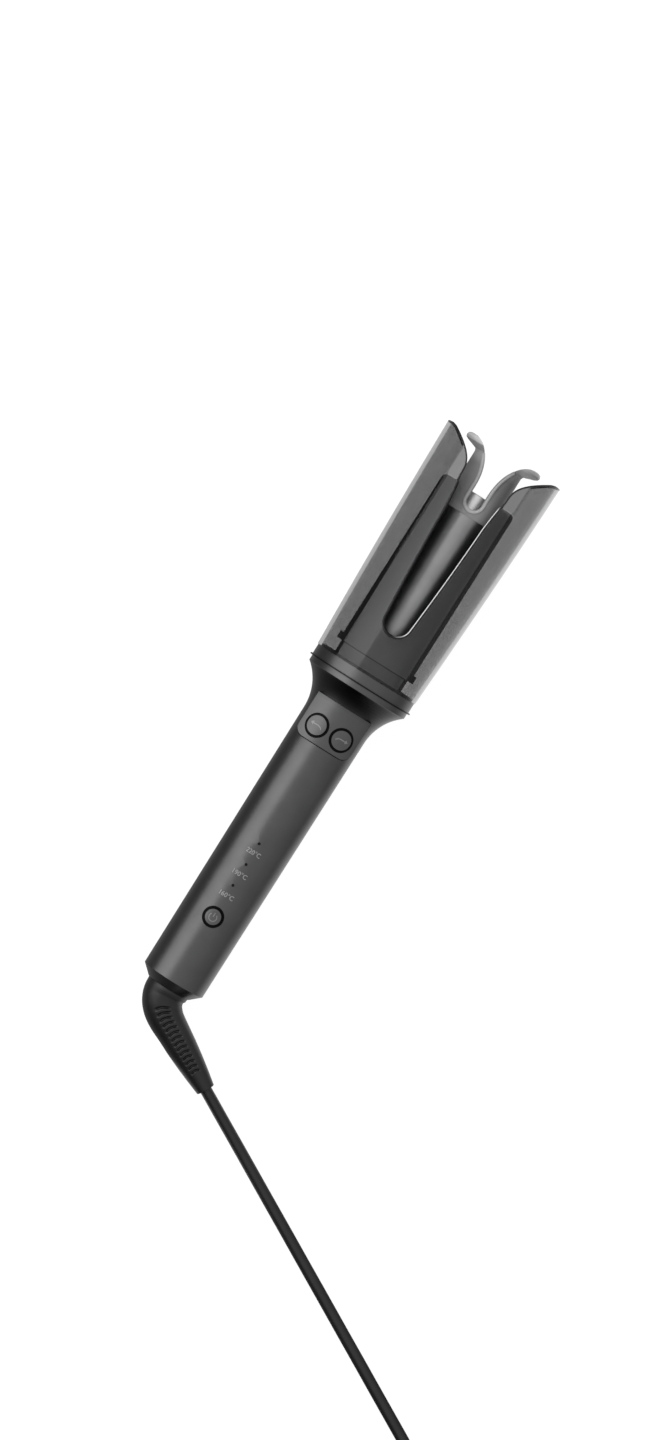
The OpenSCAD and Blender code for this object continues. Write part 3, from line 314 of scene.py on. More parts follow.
# Painted shade: the colour goes dark just outside each face's even part
def addRimShade(material, values):
    tree = material.node_tree
    place = uprightPlaces(tree)
    flat = tree.nodes.new("ShaderNodeCombineXYZ")
    tree.links.new(addMath(tree, "ABSOLUTE", place["X"], 0.0), flat.inputs["X"])
    tree.links.new(place["Y"], flat.inputs["Y"])
    past = []
    for x, y, radius in values["spots"]:
        away = tree.nodes.new("ShaderNodeVectorMath")
        away.operation = "DISTANCE"
        tree.links.new(flat.outputs["Vector"], away.inputs[0])
        away.inputs[1].default_value = (x, y, 0)
        past.append(addMath(tree, "SUBTRACT", away.outputs["Value"], radius))
    rim = addRamp(tree, addMath(tree, "MINIMUM", *past), 0.0, 1.0, 0.0, values["fade"])
    recolour(material, rim, values["shade"], "MULTIPLY")


addRimShade(materials["satinGrey"], buttonRimPaintedShade)

# Satin aluminium chamber, with painted shade along its sides where it turns away from the light, black on its
# top edge and dark in its seam
chamberLook = {
    "dark": (0.88, 0.88, 0.885), "light": (0.94, 0.94, 0.945), "mottle": 80, "gloss": (0.34, 0.40),
    "grain": 3000, "bump": 0.03, "metal": 0.1, "specular": 0.2, "black": (0.006, 0.006, 0.006),
    "bandGloss": 0.85, "bandFrom": 0.0179, "bandSoft": 0.0003, "baseBandFrom": 0.0170, "baseSoft": 0.0001,
    "seamY": 0.1896, "seamShade": 0.8, "seamHalf": (0.0001, 0.0004), "topY": 0.2853, "topSoft": 0.0002,
}


def makeChamberFinish(values):
    material, tree, shader = newMaterial("satinChamber")
    mottle = addNoise(tree, objectPlaces(tree), values["mottle"])
    metal = addColours(tree, mottle, values["dark"], values["light"])
    place = uprightPlaces(tree)
    # Painted shade: past bandFrom the sides go black; the top edge and the seam are darkened as well
    onBase = addRamp(tree, place["Y"], values["bandFrom"] - values["baseBandFrom"], 0.0,
                     values["seamY"] - values["baseSoft"], values["seamY"])
    side = addMath(tree, "ADD", addMath(tree, "ABSOLUTE", place["X"], 0.0), onBase)
    band = addRamp(tree, side, 0.0, 1.0, values["bandFrom"], values["bandFrom"] + values["bandSoft"])
    top = addRamp(tree, place["Y"], 0.0, 1.0, values["topY"], values["topY"] + values["topSoft"])
    fromSeam = addMath(tree, "ABSOLUTE", addMath(tree, "SUBTRACT", place["Y"], values["seamY"]), 0.0)
    seam = addRamp(tree, fromSeam, values["seamShade"], 0.0, *values["seamHalf"])
    black = addMath(tree, "MAXIMUM", band, top, seam)
    tree.links.new(addMix(tree, black, metal, values["black"]), shader.inputs["Base Color"])
    tree.links.new(addRamp(tree, black, values["metal"], 0.0, 0.0, 1.0), shader.inputs["Metallic"])
    dull = addRamp(tree, black, 0.0, values["bandGloss"], 0.0, 1.0)
    gloss = addGrain(tree, shader, values)
    tree.links.new(addMath(tree, "MAXIMUM", gloss, dull), shader.inputs["Roughness"])
    shader.inputs["Specular IOR Level"].default_value = values["specular"]
    return material


materials["satinChamber"] = makeChamberFinish(chamberLook)

# Smoked clear shell: each face lets part of the light through
smoke = {
    "colour": (0.012, 0.012, 0.013), "uneven": 0.06, "mottle": 60, "gloss": (0.048, 0.054), "grain": 300,
    "index": 1.49, "front": 0.528, "back": 0.25, "fade": 0.006, "paintedRightLift": 0.025, "sideX": 0.016,
    "overChamber": -0.024, "overOpening": 0.036, "rightShare": 2.0, "half": 0.020, "openY": 0.2853,
    "soft": 0.0005,
}


def makeSmoke(values):
    material, tree, shader = newMaterial("smokedShell")
    grain = addNoise(tree, objectPlaces(tree), values["grain"])
    tree.links.new(addRamp(tree, grain, *values["gloss"]), shader.inputs["Roughness"])
    mottle = addNoise(tree, objectPlaces(tree), values["mottle"])
    uneven = values["uneven"]
    dark, light = ([c * share for c in values["colour"]] for share in (1 - uneven, 1 + uneven))
    tree.links.new(addColours(tree, mottle, dark, light), shader.inputs["Base Color"])
    shader.inputs["IOR"].default_value = values["index"]
    # Painted shade and light in the tint: it is deeper in front of the axis than behind it, and a little
    # lighter on the right
    place = uprightPlaces(tree)
    depth = addRamp(tree, place["Z"], values["back"], values["front"], -values["fade"], values["fade"])
    lift = addRamp(tree, place["X"], 0.0, values["paintedRightLift"], 0.0, values["sideX"])
    # Painted light and shade in front: clearer over the chamber and deeper over the opening above, more so on
    # the right
    front = addRamp(tree, place["Z"], 0.0, 1.0, -values["fade"], values["fade"])
    half, openY, soft = values["half"], values["openY"], values["soft"]
    inner = addRamp(tree, addMath(tree, "ABSOLUTE", place["X"], 0.0), 1.0, 0.0, half - soft, half + soft)
    over = addRamp(tree, place["Y"], values["overChamber"], values["overOpening"], openY - soft, openY + soft)
    share = addRamp(tree, place["X"], 1.0, values["rightShare"], 0.0, values["sideX"])
    paintedFrontShading = addMath(tree, "MULTIPLY", front, inner, over, share)
    alpha = addMath(tree, "ADD", addMath(tree, "SUBTRACT", depth, lift), paintedFrontShading)
    tree.links.new(alpha, shader.inputs["Alpha"])
    return material


materials["smokedShell"] = makeSmoke(smoke)

# Lining sheet: brushed metal round the barrel, polished where it lies open above it and painted pale there as
# painted light
lining = {
    "dark": (0.26, 0.26, 0.265), "light": (0.34, 0.34, 0.345), "pale": (0.92, 0.92, 0.925),
    "gloss": (0.40, 0.50), "metal": 1.0, "polish": 0.22, "openFrom": 0.270, "openTo": 0.275,
    "lines": 90, "stretch": (1, 40, 1), "bump": 0.02,
}


def makeLining(values):
    material, tree, shader = newMaterial("brushedLining")
    lines = addNoise(tree, objectPlaces(tree), values["lines"], detail=4.0, roughness=0.6,
                     stretch=values["stretch"])
    brushed = addColours(tree, lines, values["dark"], values["light"])
    # Painted light: the part open above the barrel is given the pale colour
    above = addRamp(tree, uprightPlaces(tree)["Y"], 0.0, 1.0, values["openFrom"], values["openTo"])
    tree.links.new(addMix(tree, above, brushed, values["pale"]), shader.inputs["Base Color"])
    polish = addRamp(tree, above, 0.0, values["polish"], 0.0, 1.0)
    gloss = addRamp(tree, lines, *values["gloss"])
    tree.links.new(addMath(tree, "SUBTRACT", gloss, polish), shader.inputs["Roughness"])
    shader.inputs["Metallic"].default_value = values["metal"]
    addBump(tree, shader, lines, values["bump"])
    return material


materials["brushedLining"] = makeLining(lining)

# Woven tie strap
strap = {"dark": (0.008, 0.008, 0.009), "light": (0.030, 0.030, 0.032), "thread": 1500, "waver": 1.5,
         "bump": 0.5, "depth": 0.0003, "rough": 0.85, "sheen": 0.2}


def makeStrap(values):
    material, tree, shader = newMaterial("wovenStrap")
    weave = tree.nodes.new("ShaderNodeTexWave")
    weave.inputs["Scale"].default_value = values["thread"]
    weave.inputs["Distortion"].default_value = values["waver"]
    weave.inputs["Detail"].default_value = 2
    tree.links.new(objectPlaces(tree), weave.inputs["Vector"])
    tree.links.new(addColours(tree, weave.outputs["Fac"], values["dark"], values["light"]),
                   shader.inputs["Base Color"])
    addBump(tree, shader, weave.outputs["Fac"], values["bump"], values["depth"])
    shader.inputs["Roughness"].default_value = values["rough"]
    shader.inputs["Sheen Weight"].default_value = values["sheen"]
    return material


materials["wovenStrap"] = makeStrap(strap)

slotFinish = {
    "handle": "satinGunmetal", "panel": "satinGunmetal", "bezel": "glossBlack", "button": "satinGrey",
    "inner_plastic": "innerPlastic", "light": "smokedLight", "lamp": "clearResin",
    "board": "boardLacquer", "terminal": "terminalBlue", "filter": "filterYellow",
    "semiconductor": "innerPlastic", "electrolytic": "canBlue", "black_cap": "satinBlack",
    "boot": "rubberBlack", "screw": "zincPlate", "steel": "bareSteel", "gearbox": "brass",
    "gear": "nylon", "bronze": "bronze", "barrel": "barrelCoat", "guide": "guideGrey",
    "aluminium": "bareAluminium", "ceramic": "whiteCeramic", "sensor": "sensorCoat",
    "chamber": "satinChamber", "lining": "brushedLining", "shell": "smokedShell",
    "trim": "darkTrim", "cord": "rubberBlack", "tie": "wovenStrap", "plug": "rubberBlack",
    "plug_metal": "nickel",
}
slotOfNode = {part["node"]: part["material_slot"] for part in frame["record"]["subparts"]}


def dress(piece, material):
    piece.data.materials.clear()
    piece.data.materials.append(material)


for name, node in nodes.items():
    dress(node, materials[slotFinish[slotOfNode[name]]])
print("finishes on", len(nodes), "solids")


# A finished mesh made a piece, with its faces turned outwards, its slot and the body that it rides on
def newPiece(name, mesh, body, material, smooth=True):
    bmesh.ops.recalc_face_normals(mesh, faces=mesh.faces)
    data = bpy.data.meshes.new(name)
    mesh.to_mesh(data)
    mesh.free()
    piece = bpy.data.objects.new(name, data)
    bpy.context.scene.collection.objects.link(piece)
    for face in data.polygons:
        face.use_smooth = smooth
    dress(piece, material)
    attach(piece, body)
    return piece


# Mains cord: straight out of the boot, down to the table, then into its coil
cordRoute = {
    "radius": 0.003,
    "lead": [
        (35, -183.3, 11.1), (42, -187.1, 9.9), (48, -190.3, 8.9), (54, -193.6, 7.9), (62, -197.9, 6.6),
        (72, -203.3, 5.2), (84, -209.8, 4.1), (98, -217.4, 3.4), (114, -226, 3.1), (130, -234.7, 3.1),
        (146, -243.3, 3.1), (162, -252, 3.1), (178, -260.6, 3.1), (194, -269.3, 3.1),
        (210, -277.9, 3.2), (224, -285.5, 3.4), (236, -292, 3.7), (246, -297.3, 3.9),
    ],
    "entry": 6.0, "innerRadius": 25.0, "pitch": 6.6, "layerTurns": 3.25, "climbTurns": 0.5, "dip": 0.8,
    "stepsPerTurn": 24, "tailRuns": (8.0, 17.0, 26.0, 37.0), "tailDip": 0.4, "plugHeight": 6.85,
}


# Two layers of turns, the lower wound inwards and the upper outwards, then the tail up to the plug
def coilPoints(route):
    last, before = Vector(route["lead"][-1]), Vector(route["lead"][-2])
    heading = Vector(((last - before).x, (last - before).y, 0)).normalized()
    start = last + heading * route["entry"]
    outer = route["innerRadius"] + route["layerTurns"] * route["pitch"]
    side = Vector((heading.y, -heading.x, 0))
    middle = start + side * outer
    first = math.atan2(-side.y, -side.x)
    climb, steps = route["climbTurns"], route["stepsPerTurn"]
    turns = 2 * route["layerTurns"] + climb
    points = []
    for i in range(int(turns * steps) + 1):
        t = i / steps
        u = abs(t - turns / 2)
        radius = (route["innerRadius"] + route["pitch"] * max(0, u - climb / 2)
                  - route["dip"] * max(0, math.cos(math.pi * min(u, 0.5))))
        rise = route["pitch"] * min(1, max(0, (t - turns / 2 + climb / 2) / climb))
        angle = first - 2 * math.pi * t
        points.append(Vector((middle.x + radius * math.cos(angle), middle.y + radius * math.sin(angle),
                              last.z + rise)))
    end, low, high = points[-1], points[-1].z, route["plugHeight"]
    for run, z in zip(route["tailRuns"], (low - route["tailDip"], (low + high) / 2, high, high)):
        points.append(Vector((end.x + run * heading.x, end.y + run * heading.y, z)))
    return points


def makeCord(route):
    points = [Vector(p) / 1000 for p in route["lead"]] + [p / 1000 for p in coilPoints(route)]
    curve = bpy.data.curves.new("mainsCord", "CURVE")
    curve.dimensions = "3D"
    curve.bevel_depth = route["radius"]
    curve.bevel_resolution = 5
    curve.use_fill_caps = True
    curve.resolution_u = 4
    spline = curve.splines.new("NURBS")
    spline.points.add(len(points) - 1)
    for point, place in zip(spline.points, points):
        point.co = (*place, 1)
    spline.order_u = 3
    spline.use_endpoint_u = True
    piece = bpy.data.objects.new("mainsCord", curve)
    bpy.context.scene.collection.objects.link(piece)
    piece.data.materials.append(materials["rubberBlack"])
    length = sum((b - a).length for a, b in zip(points, points[1:]))
    print("cord length", round(length, 3))
    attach(piece, "iron")
    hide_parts("cord_lead", "cord_coil")
    return piece, length


mainsCord, cordLength = makeCord(cordRoute)


# Rings of one outline carried along a row of frames, joined as they go and closed at both ends
def sweep(mesh, outline, frames):
    ring = [mesh.verts.new(frames[0] @ Vector((x, y, 0))) for x, y in outline]
    edges = [mesh.edges.new((a, b)) for a, b in zip(ring, ring[1:] + ring[:1])]
    first, rings = edges, [ring]
    for before, after in zip(frames, frames[1:]):
        grown = bmesh.ops.extrude_edge_only(mesh, edges=edges)["geom"]
        ring = [part for part in grown if isinstance(part, bmesh.types.BMVert)]
        fresh = set(ring)
        edges = [part for part in grown if isinstance(part, bmesh.types.BMEdge) and set(part.verts) <= fresh]
        bmesh.ops.transform(mesh, matrix=after @ before.inverted(), verts=ring)
        rings.append(ring)
    for end in (first, edges):
        bmesh.ops.edgeloop_fill(mesh, edges=end)
    return rings


# Frames along a line: x sideways, y along the normal, z along the line
def lineFrames(points, normals):
    frames = []
    last = len(points) - 1
    for i, (place, normal) in enumerate(zip(points, normals)):
        along = (points[min(i + 1, last)] - points[max(i - 1, 0)]).normalized()
        side = along.cross(normal).normalized()
        up = side.cross(along)
        frames.append(Matrix.Translation(place) @ Matrix((side, up, along)).transposed().to_4x4())
    return frames


def toTable(point):
    return lieMatrix @ (point / 1000)


# Frames along a line that is given upright, in millimetres, and laid down on the table
def tableFrames(points, normals):
    turn = lieMatrix.to_3x3()
    return lineFrames([toTable(p) for p in points], [(turn @ n).normalized() for n in normals])


# Normals straight out from the object's axis
def outward(points):
    return [Vector((p.x, 0, p.z)).normalized() for p in points]


def ease(value):
    value = min(1.0, max(0.0, value))
    return value * value * (3 - 2 * value)


def roundOutline(width, height, segments, power=2.0):
    points = []
    for i in range(segments):
        angle = 2 * math.pi * i / segments
        c, s = math.cos(angle), math.sin(angle)
        points.append((width * math.copysign(abs(c) ** (2 / power), c),
                       height * math.copysign(abs(s) ** (2 / power), s)))
    return points


# The outline of a round bar, from its radius in millimetres
def barOutline(shape):
    return roundOutline(shape["radius"] / 1000, shape["radius"] / 1000, shape["segments"])


# Strain relief: a tapered elbow with short grooves across its front and back, between smooth sides
bootShape = {
    "path": [
        (0.5, -160, 15.9), (1.8, -162.8, 15.7), (4.3, -165.8, 15.4), (8.2, -168.7, 15), (14.3, -172, 14.3),
        (21, -175.7, 13.4), (28, -179.5, 12.3), (35, -183.3, 11.1), (42, -187.1, 9.9),
    ],
    "radii": [11.1, 10.9, 10.5, 10.0, 9.4, 8.8, 8.2, 7.7, 6.9, 5.9, 4.7],
    "socket": 3.0, "segments": 96, "step": 0.25, "flat": 0.045, "flatFrom": 1.0, "flatOver": 3.0,
    "firstGroove": 9.8, "pitch": 2.7, "grooves": 14, "grooveWidth": 1.05, "grooveDepth": 1.15,
    "grooveReach": 0.34, "grooveBow": 6.5, "wallInside": 0.25, "wallWidth": 0.4, "endSoft": 0.12,
}


# Stations along the elbow's middle line: the run up to each, its radius and its frame
def bootStations(shape):
    route = [lieDown(0, 0, 0), lieDown(0, -shape["socket"] / 1000, 0)]
    route += [Vector(p) / 1000 for p in shape["path"]]
    radii = [r / 1000 for r in shape["radii"]]
    last = len(route) - 1
    slopes = [(route[min(k + 1, last)] - route[max(k - 1, 0)]).normalized() for k in range(last + 1)]
    runs = [0.0]
    for a, b in zip(route, route[1:]):
        runs.append(runs[-1] + (b - a).length)
    count = int(runs[-1] / (shape["step"] / 1000))
    stations = []
    for run in (runs[-1] * k / count for k in range(count + 1)):
        i = max(k for k in range(last) if runs[k] <= run + 1e-9)
        gap = runs[i + 1] - runs[i]
        t = (run - runs[i]) / gap
        # A Hermite curve through the route's points keeps the elbow round
        a, b, p, q = route[i], route[i + 1], slopes[i] * gap, slopes[i + 1] * gap
        place = (a * (2 * t ** 3 - 3 * t ** 2 + 1) + p * (t ** 3 - 2 * t ** 2 + t)
                 + b * (3 * t ** 2 - 2 * t ** 3) + q * (t ** 3 - t ** 2))
        along = slopes[i].lerp(slopes[i + 1], t).normalized()
        side = along.cross(Vector((0, 0, 1))).normalized()
        up = side.cross(along)
        radius = radii[i] + (radii[i + 1] - radii[i]) * t
        turn = Matrix((side * radius, up * radius, along * radius)).transposed().to_4x4()
        stations.append((run * 1000, radius, Matrix.Translation(place) @ turn))
    return stations


def makeBoot(shape):
    stations = bootStations(shape)
    mesh = bmesh.new()
    rings = sweep(mesh, roundOutline(1, 1, shape["segments"]), [place for run, radius, place in stations])
    for (run, radius, place), ring in zip(stations, rings):
        flat = shape["flat"] * ease((run - shape["flatFrom"]) / shape["flatOver"])
        back = place.inverted()
        for vertex in ring:
            local = back @ vertex.co
            # The grooves are arcs whose ends trail towards the cord
            turns = (run - shape["firstGroove"] - shape["grooveBow"] * local.x ** 2) / shape["pitch"]
            nearest = min(shape["grooves"] - 1, max(0, round(turns)))
            offset = abs(turns - nearest) * shape["pitch"]
            cut = 1 - ease((offset - shape["grooveWidth"] / 2 + shape["wallInside"]) / shape["wallWidth"])
            past = abs(local.x) - shape["grooveReach"] + shape["endSoft"] / 2
            depth = cut * (1 - ease(past / shape["endSoft"])) * shape["grooveDepth"] / 1000 / radius
            # Below the round socket the elbow is a little flatter in front than at its sides
            slim = 1 - flat * (1 - abs(local.x) ** 3)
            local.y = math.copysign(max(0.0, abs(local.y) * slim - depth), local.y)
            vertex.co = place @ local
    piece = newPiece("cordBoot", mesh, "iron", materials["rubberBlack"])
    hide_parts("strain_relief")
    return piece


cordBoot = makeBoot(bootShape)
print("cord and boot laid")

# The shell's outline, and the slot and wings that are cut from it, in millimetres
shellShape = {"footY": 181.9, "length": 126.7, "foot": 28.2, "tip": 32.2, "bulge": 0.45}
slotShape = {
    "middleY": 211.35, "end": 7.35, "bow": 0.8, "bowY": 242.95, "mouthX": 10.8, "mouthY": 270.95,
    "mouthBend": (0.9, 12.0), "gap": 12.9, "wingY": 288.1, "wingHeight": 20.3, "wingBends": (0.32, 0.52),
    "wingEnd": 28.0, "tipY": 308.6, "tipDrop": 0.7, "tipRise": 0.5, "tipOver": 2.0, "startY": 305.0,
    "backX": 20.1, "backTip": 302.0, "backY": 285.7,
}


def shellRadius(y):
    foot, tip = shellShape["foot"], shellShape["tip"]
    t = (y - shellShape["footY"]) / shellShape["length"]
    return foot + (tip - foot) * t + 4 * shellShape["bulge"] * t * (1 - t)


# A point of the curve that a few points pull towards themselves
def blend(points, t):
    while len(points) > 1:
        points = [a.lerp(b, t) for a, b in zip(points, points[1:])]
    return points[0]


# Right half of the slot, from the middle of its round end up to the wing, seen from the front
def slotSide(shape):
    points = []
    for k in range(13):
        angle = math.radians(-90 + 7.5 * k)
        points.append((shape["end"] * math.cos(angle), shape["middleY"] + shape["end"] * math.sin(angle)))
    sides = [Vector((shape["end"], shape["middleY"])),
             Vector(((shape["end"] + shape["mouthX"]) / 2 + shape["bow"], shape["bowY"])),
             Vector((shape["mouthX"], shape["mouthY"]))]
    points += [tuple(blend(sides, k / 12)) for k in range(1, 12)]
    bendX, bendY = shape["mouthBend"]
    mouth = [sides[-1], Vector((shape["mouthX"] + bendX, shape["mouthY"] + bendY)),
             Vector((shape["gap"], shape["wingY"]))]
    points += [tuple(blend(mouth, k / 8)) for k in range(8)]
    return points


def wingPoint(shape, t):
    heights = [shape["wingY"] + bend * shape["wingHeight"] for bend in (0.0, *shape["wingBends"])]
    points = [Vector((shape["gap"], height)) for height in heights]
    points.append(Vector((shape["wingEnd"], shape["tipY"] - shape["tipDrop"])))
    return blend(points, t)


# The wing's height above the end cap's face at a distance x from the middle
def wingHeight(shape, x):
    past = x - shape["wingEnd"]
    if past > 0:
        return shape["tipY"] - shape["tipDrop"] + shape["tipRise"] * ease(past / shape["tipOver"])
    low, high = 0.0, 1.0
    for _ in range(24):    # halved until the curve's point lies over x
        t = (low + high) / 2
        if wingPoint(shape, t).x < x:
            low = t
        else:
            high = t
    return wingPoint(shape, low).y


# A point on the shell's front
def onShell(x, y):
    radius = shellRadius(y)
    x = min(x, radius)
    return Vector((x, y, math.sqrt(max(0.0, radius * radius - x * x))))


# The rim of the right half: up the slot, over the wing and round to the opening at the back
def rimPoints(shape):
    points = [onShell(x, y) for x, y in slotSide(shape)]
    points += [onShell(*wingPoint(shape, k / 14)) for k in range(10)]
    turn = math.degrees(math.asin(points[-1].x / shellRadius(points[-1].y)))
    until = 180 - math.degrees(math.asin(shape["backX"] / shellRadius(shape["backTip"])))
    for k in range(1, 41):
        around = math.radians(turn + (until - turn) * k / 40)
        y = shape["startY"]
        for _ in range(4):
            x = shellRadius(y) * math.sin(around)
            y = wingHeight(shape, x)
        points.append(Vector((x, y, shellRadius(y) * math.cos(around))))
    return points


# Dark polished edge of the shell, round the slot and the wings
edgeShape = {"radius": 0.42, "down": 0.36, "into": 0.22, "segments": 12}


def makeShellEdge(shape):
    right = rimPoints(slotShape)
    line = [Vector((-p.x, p.y, p.z)) for p in reversed(right[1:])] + right
    normals = outward(line)
    centres = [f @ Vector((shape["into"], -shape["down"], 0)) for f in lineFrames(line, normals)]
    mesh = bmesh.new()
    sweep(mesh, barOutline(shape), tableFrames(centres, normals))
    newPiece("shellEdge", mesh, "iron", materials["smokedEdge"])


makeShellEdge(edgeShape)

# Rolled edge of the chamber, just inside the slot: painted shade makes it black on the left, which faces away
# from the light; bare metal on the right
lipShape = {"radius": 0.55, "inset": 2.5, "into": -0.28, "segments": 16}
lipLook = {
    "left": (0.010, 0.010, 0.010), "right": (0.64, 0.64, 0.645), "from": 0.001, "to": 0.006,
    "gloss": (0.30, 0.36), "grain": 3000, "bump": 0.03, "metal": 0.8, "specular": 0.2,
}


def makeLipFinish(values):
    material, tree, shader = newMaterial("rolledEdge")
    # Painted shade: black on the left side, fading to bare metal on the right
    bare = addRamp(tree, uprightPlaces(tree)["X"], 0.0, 1.0, values["from"], values["to"])
    tree.links.new(addMix(tree, bare, values["left"], values["right"]), shader.inputs["Base Color"])
    tree.links.new(addRamp(tree, bare, 0.0, values["metal"], 0.0, 1.0), shader.inputs["Metallic"])
    tree.links.new(addGrain(tree, shader, values), shader.inputs["Roughness"])
    shader.inputs["Specular IOR Level"].default_value = values["specular"]
    return material


materials["rolledEdge"] = makeLipFinish(lipLook)


# An outline's right half, from the middle outwards, with its mirrored left half before it
def bothHalves(side):
    return [(-x, y) for x, y in reversed(side[1:])] + side


def makeSlotLip(shape):
    line = []
    for x, y in bothHalves(slotSide(slotShape)):
        if y < slotShape["backY"]:
            line.append(Vector((x, y, math.sqrt((shellRadius(y) - shape["inset"]) ** 2 - x * x))))
    normals = outward(line)
    centres = [f @ Vector((shape["into"], 0, 0)) for f in lineFrames(line, normals)]
    mesh = bmesh.new()
    sweep(mesh, barOutline(shape), tableFrames(centres, normals))
    newPiece("slotLip", mesh, "iron", materials["rolledEdge"])


makeSlotLip(lipShape)

# Raised beads along the edges of the notch between the prongs, front and back, paler than the guide as a
# painted highlight
beadShape = {
    "notchHalf": 3.9, "notchY": 280.8, "hornY": 288.0, "hornWidth": 14.2, "hornHeight": 21.5, "guide": 13.3,
    "width": 0.95, "height": 0.85, "square": 2.6, "offset": 0.85, "until": 303.4, "segments": 20,
}


def makeBeads(shape):
    notch, offset = shape["notchHalf"], shape["offset"]
    around = notch + offset
    side = []
    for a in range(-90, 1, 6):    # round the bottom of the notch, in degrees
        angle = math.radians(a)
        side.append((around * math.cos(angle), shape["notchY"] + around * math.sin(angle)))
    for a in range(180, 120, -3):    # up the inner side of the horn
        angle = math.radians(a)
        x = notch + shape["hornWidth"] + (shape["hornWidth"] - offset) * math.cos(angle)
        y = shape["hornY"] + (shape["hornHeight"] - offset) * math.sin(angle)
        if y < shape["until"]:
            side.append((x, y))
    outline = roundOutline(shape["width"] / 1000, shape["height"] / 1000, shape["segments"], shape["square"])
    mesh = bmesh.new()
    for facing in (1, -1):
        line = [Vector((x, y, facing * math.sqrt(shape["guide"] ** 2 - x * x))) for x, y in bothHalves(side)]
        sweep(mesh, outline, tableFrames(line, outward(line)))
    newPiece("notchBeads", mesh, "turning_barrel", materials["beadPaintedHighlight"])


makeBeads(beadShape)
print("edges and beads made")

# Symbols on the buttons and the temperature marks, printed as thin raised ink
buttonPlace = {"turnY": 148.1, "tilt": 14.5, "crownZ": -9.4, "crown": 28.0, "proud": 0.35, "powerY": 42.0}
gripShape = {"footY": 4.6, "length": 147.6, "foot": 16.7, "swell": 0.6}
inkHalf = 0.05


def gripRadius(y):
    return gripShape["foot"] + gripShape["swell"] * (y - gripShape["footY"]) / gripShape["length"]


# A ribbon of ink along points of a curved face; height(x) is the face's height above the axis
def inkRibbon(mesh, points, width, height):
    line = [Vector((x, y, height(x))) for x, y in points]
    reach = 0.1
    slopes = [(height(x + reach) - height(x - reach)) / (2 * reach) for x, _ in points]
    frames = tableFrames(line, [Vector((-slope, 0, 1)).normalized() for slope in slopes])
    w, t = width / 2000, inkHalf / 1000
    sweep(mesh, [(-w, -t), (w, -t), (w, t), (-w, t)], frames)


# Millimetres from the middle of a button's face; the left arrow is the right one mirrored
arrowShape = {
    "width": 0.5, "start": (2.6, 0.3), "straight": (-3.0, 0.05), "stops": (0.0, 0.33, 0.66, 1.0),
    "hook": (2.6, 2.0), "hookAngles": (12, 24, 36, 48, 60, 72),
    "head": ((1.9, 1.1), (3.15, 0.3), (1.9, -0.5)),
}


def makeTurnSymbol(side, shape):
    crown = buttonPlace["crown"] + buttonPlace["proud"]
    middle = side * crown * math.sin(math.radians(buttonPlace["tilt"]))

    def face(x):
        return buttonPlace["crownZ"] + math.sqrt(crown ** 2 - x * x)

    def at(x, y):
        return middle + side * x, buttonPlace["turnY"] + y

    (startX, startY), (runX, runY), (hookX, hookY) = shape["start"], shape["straight"], shape["hook"]
    shaft = [at(startX + runX * t, startY + runY * t) for t in shape["stops"]]
    for a in shape["hookAngles"]:
        angle = math.radians(a)
        shaft.append(at(startX + runX - hookX * math.sin(angle),
                        startY + runY - hookY * (1 - math.cos(angle))))
    mesh = bmesh.new()
    inkRibbon(mesh, shaft, shape["width"], face)
    inkRibbon(mesh, [at(x, y) for x, y in shape["head"]], shape["width"], face)
    name, body = ("leftArrow", "left_turn_button") if side < 0 else ("rightArrow", "right_turn_button")
    newPiece(name, mesh, body, materials["symbolGrey"], smooth=False)


powerShape = {"width": 0.42, "radius": 2.0, "middle": -0.2, "angles": (38, 323, 12), "bar": (0.1, 1.0, 2.2)}


def makePowerSymbol(shape):
    radius = gripRadius(buttonPlace["powerY"]) + buttonPlace["proud"]

    def face(x):
        return math.sqrt(radius * radius - x * x)

    middle = buttonPlace["powerY"] + shape["middle"]
    ring = [math.radians(a) for a in range(*shape["angles"])]
    arc = [(shape["radius"] * math.sin(a), middle + shape["radius"] * math.cos(a)) for a in ring]
    bar = [(0, buttonPlace["powerY"] + y) for y in shape["bar"]]
    mesh = bmesh.new()
    inkRibbon(mesh, arc, shape["width"], face)
    inkRibbon(mesh, bar, shape["width"], face)
    newPiece("powerSymbol", mesh, "power_push_button", materials["symbolGrey"], smooth=False)


makeTurnSymbol(-1, arrowShape)
makeTurnSymbol(1, arrowShape)
makePowerSymbol(powerShape)

markShape = {"marks": (("160°C", 54.5), ("190°C", 66.7), ("220°C", 79.1)), "height": 2.45, "width": 7.7,
             "extrude": 0.02}


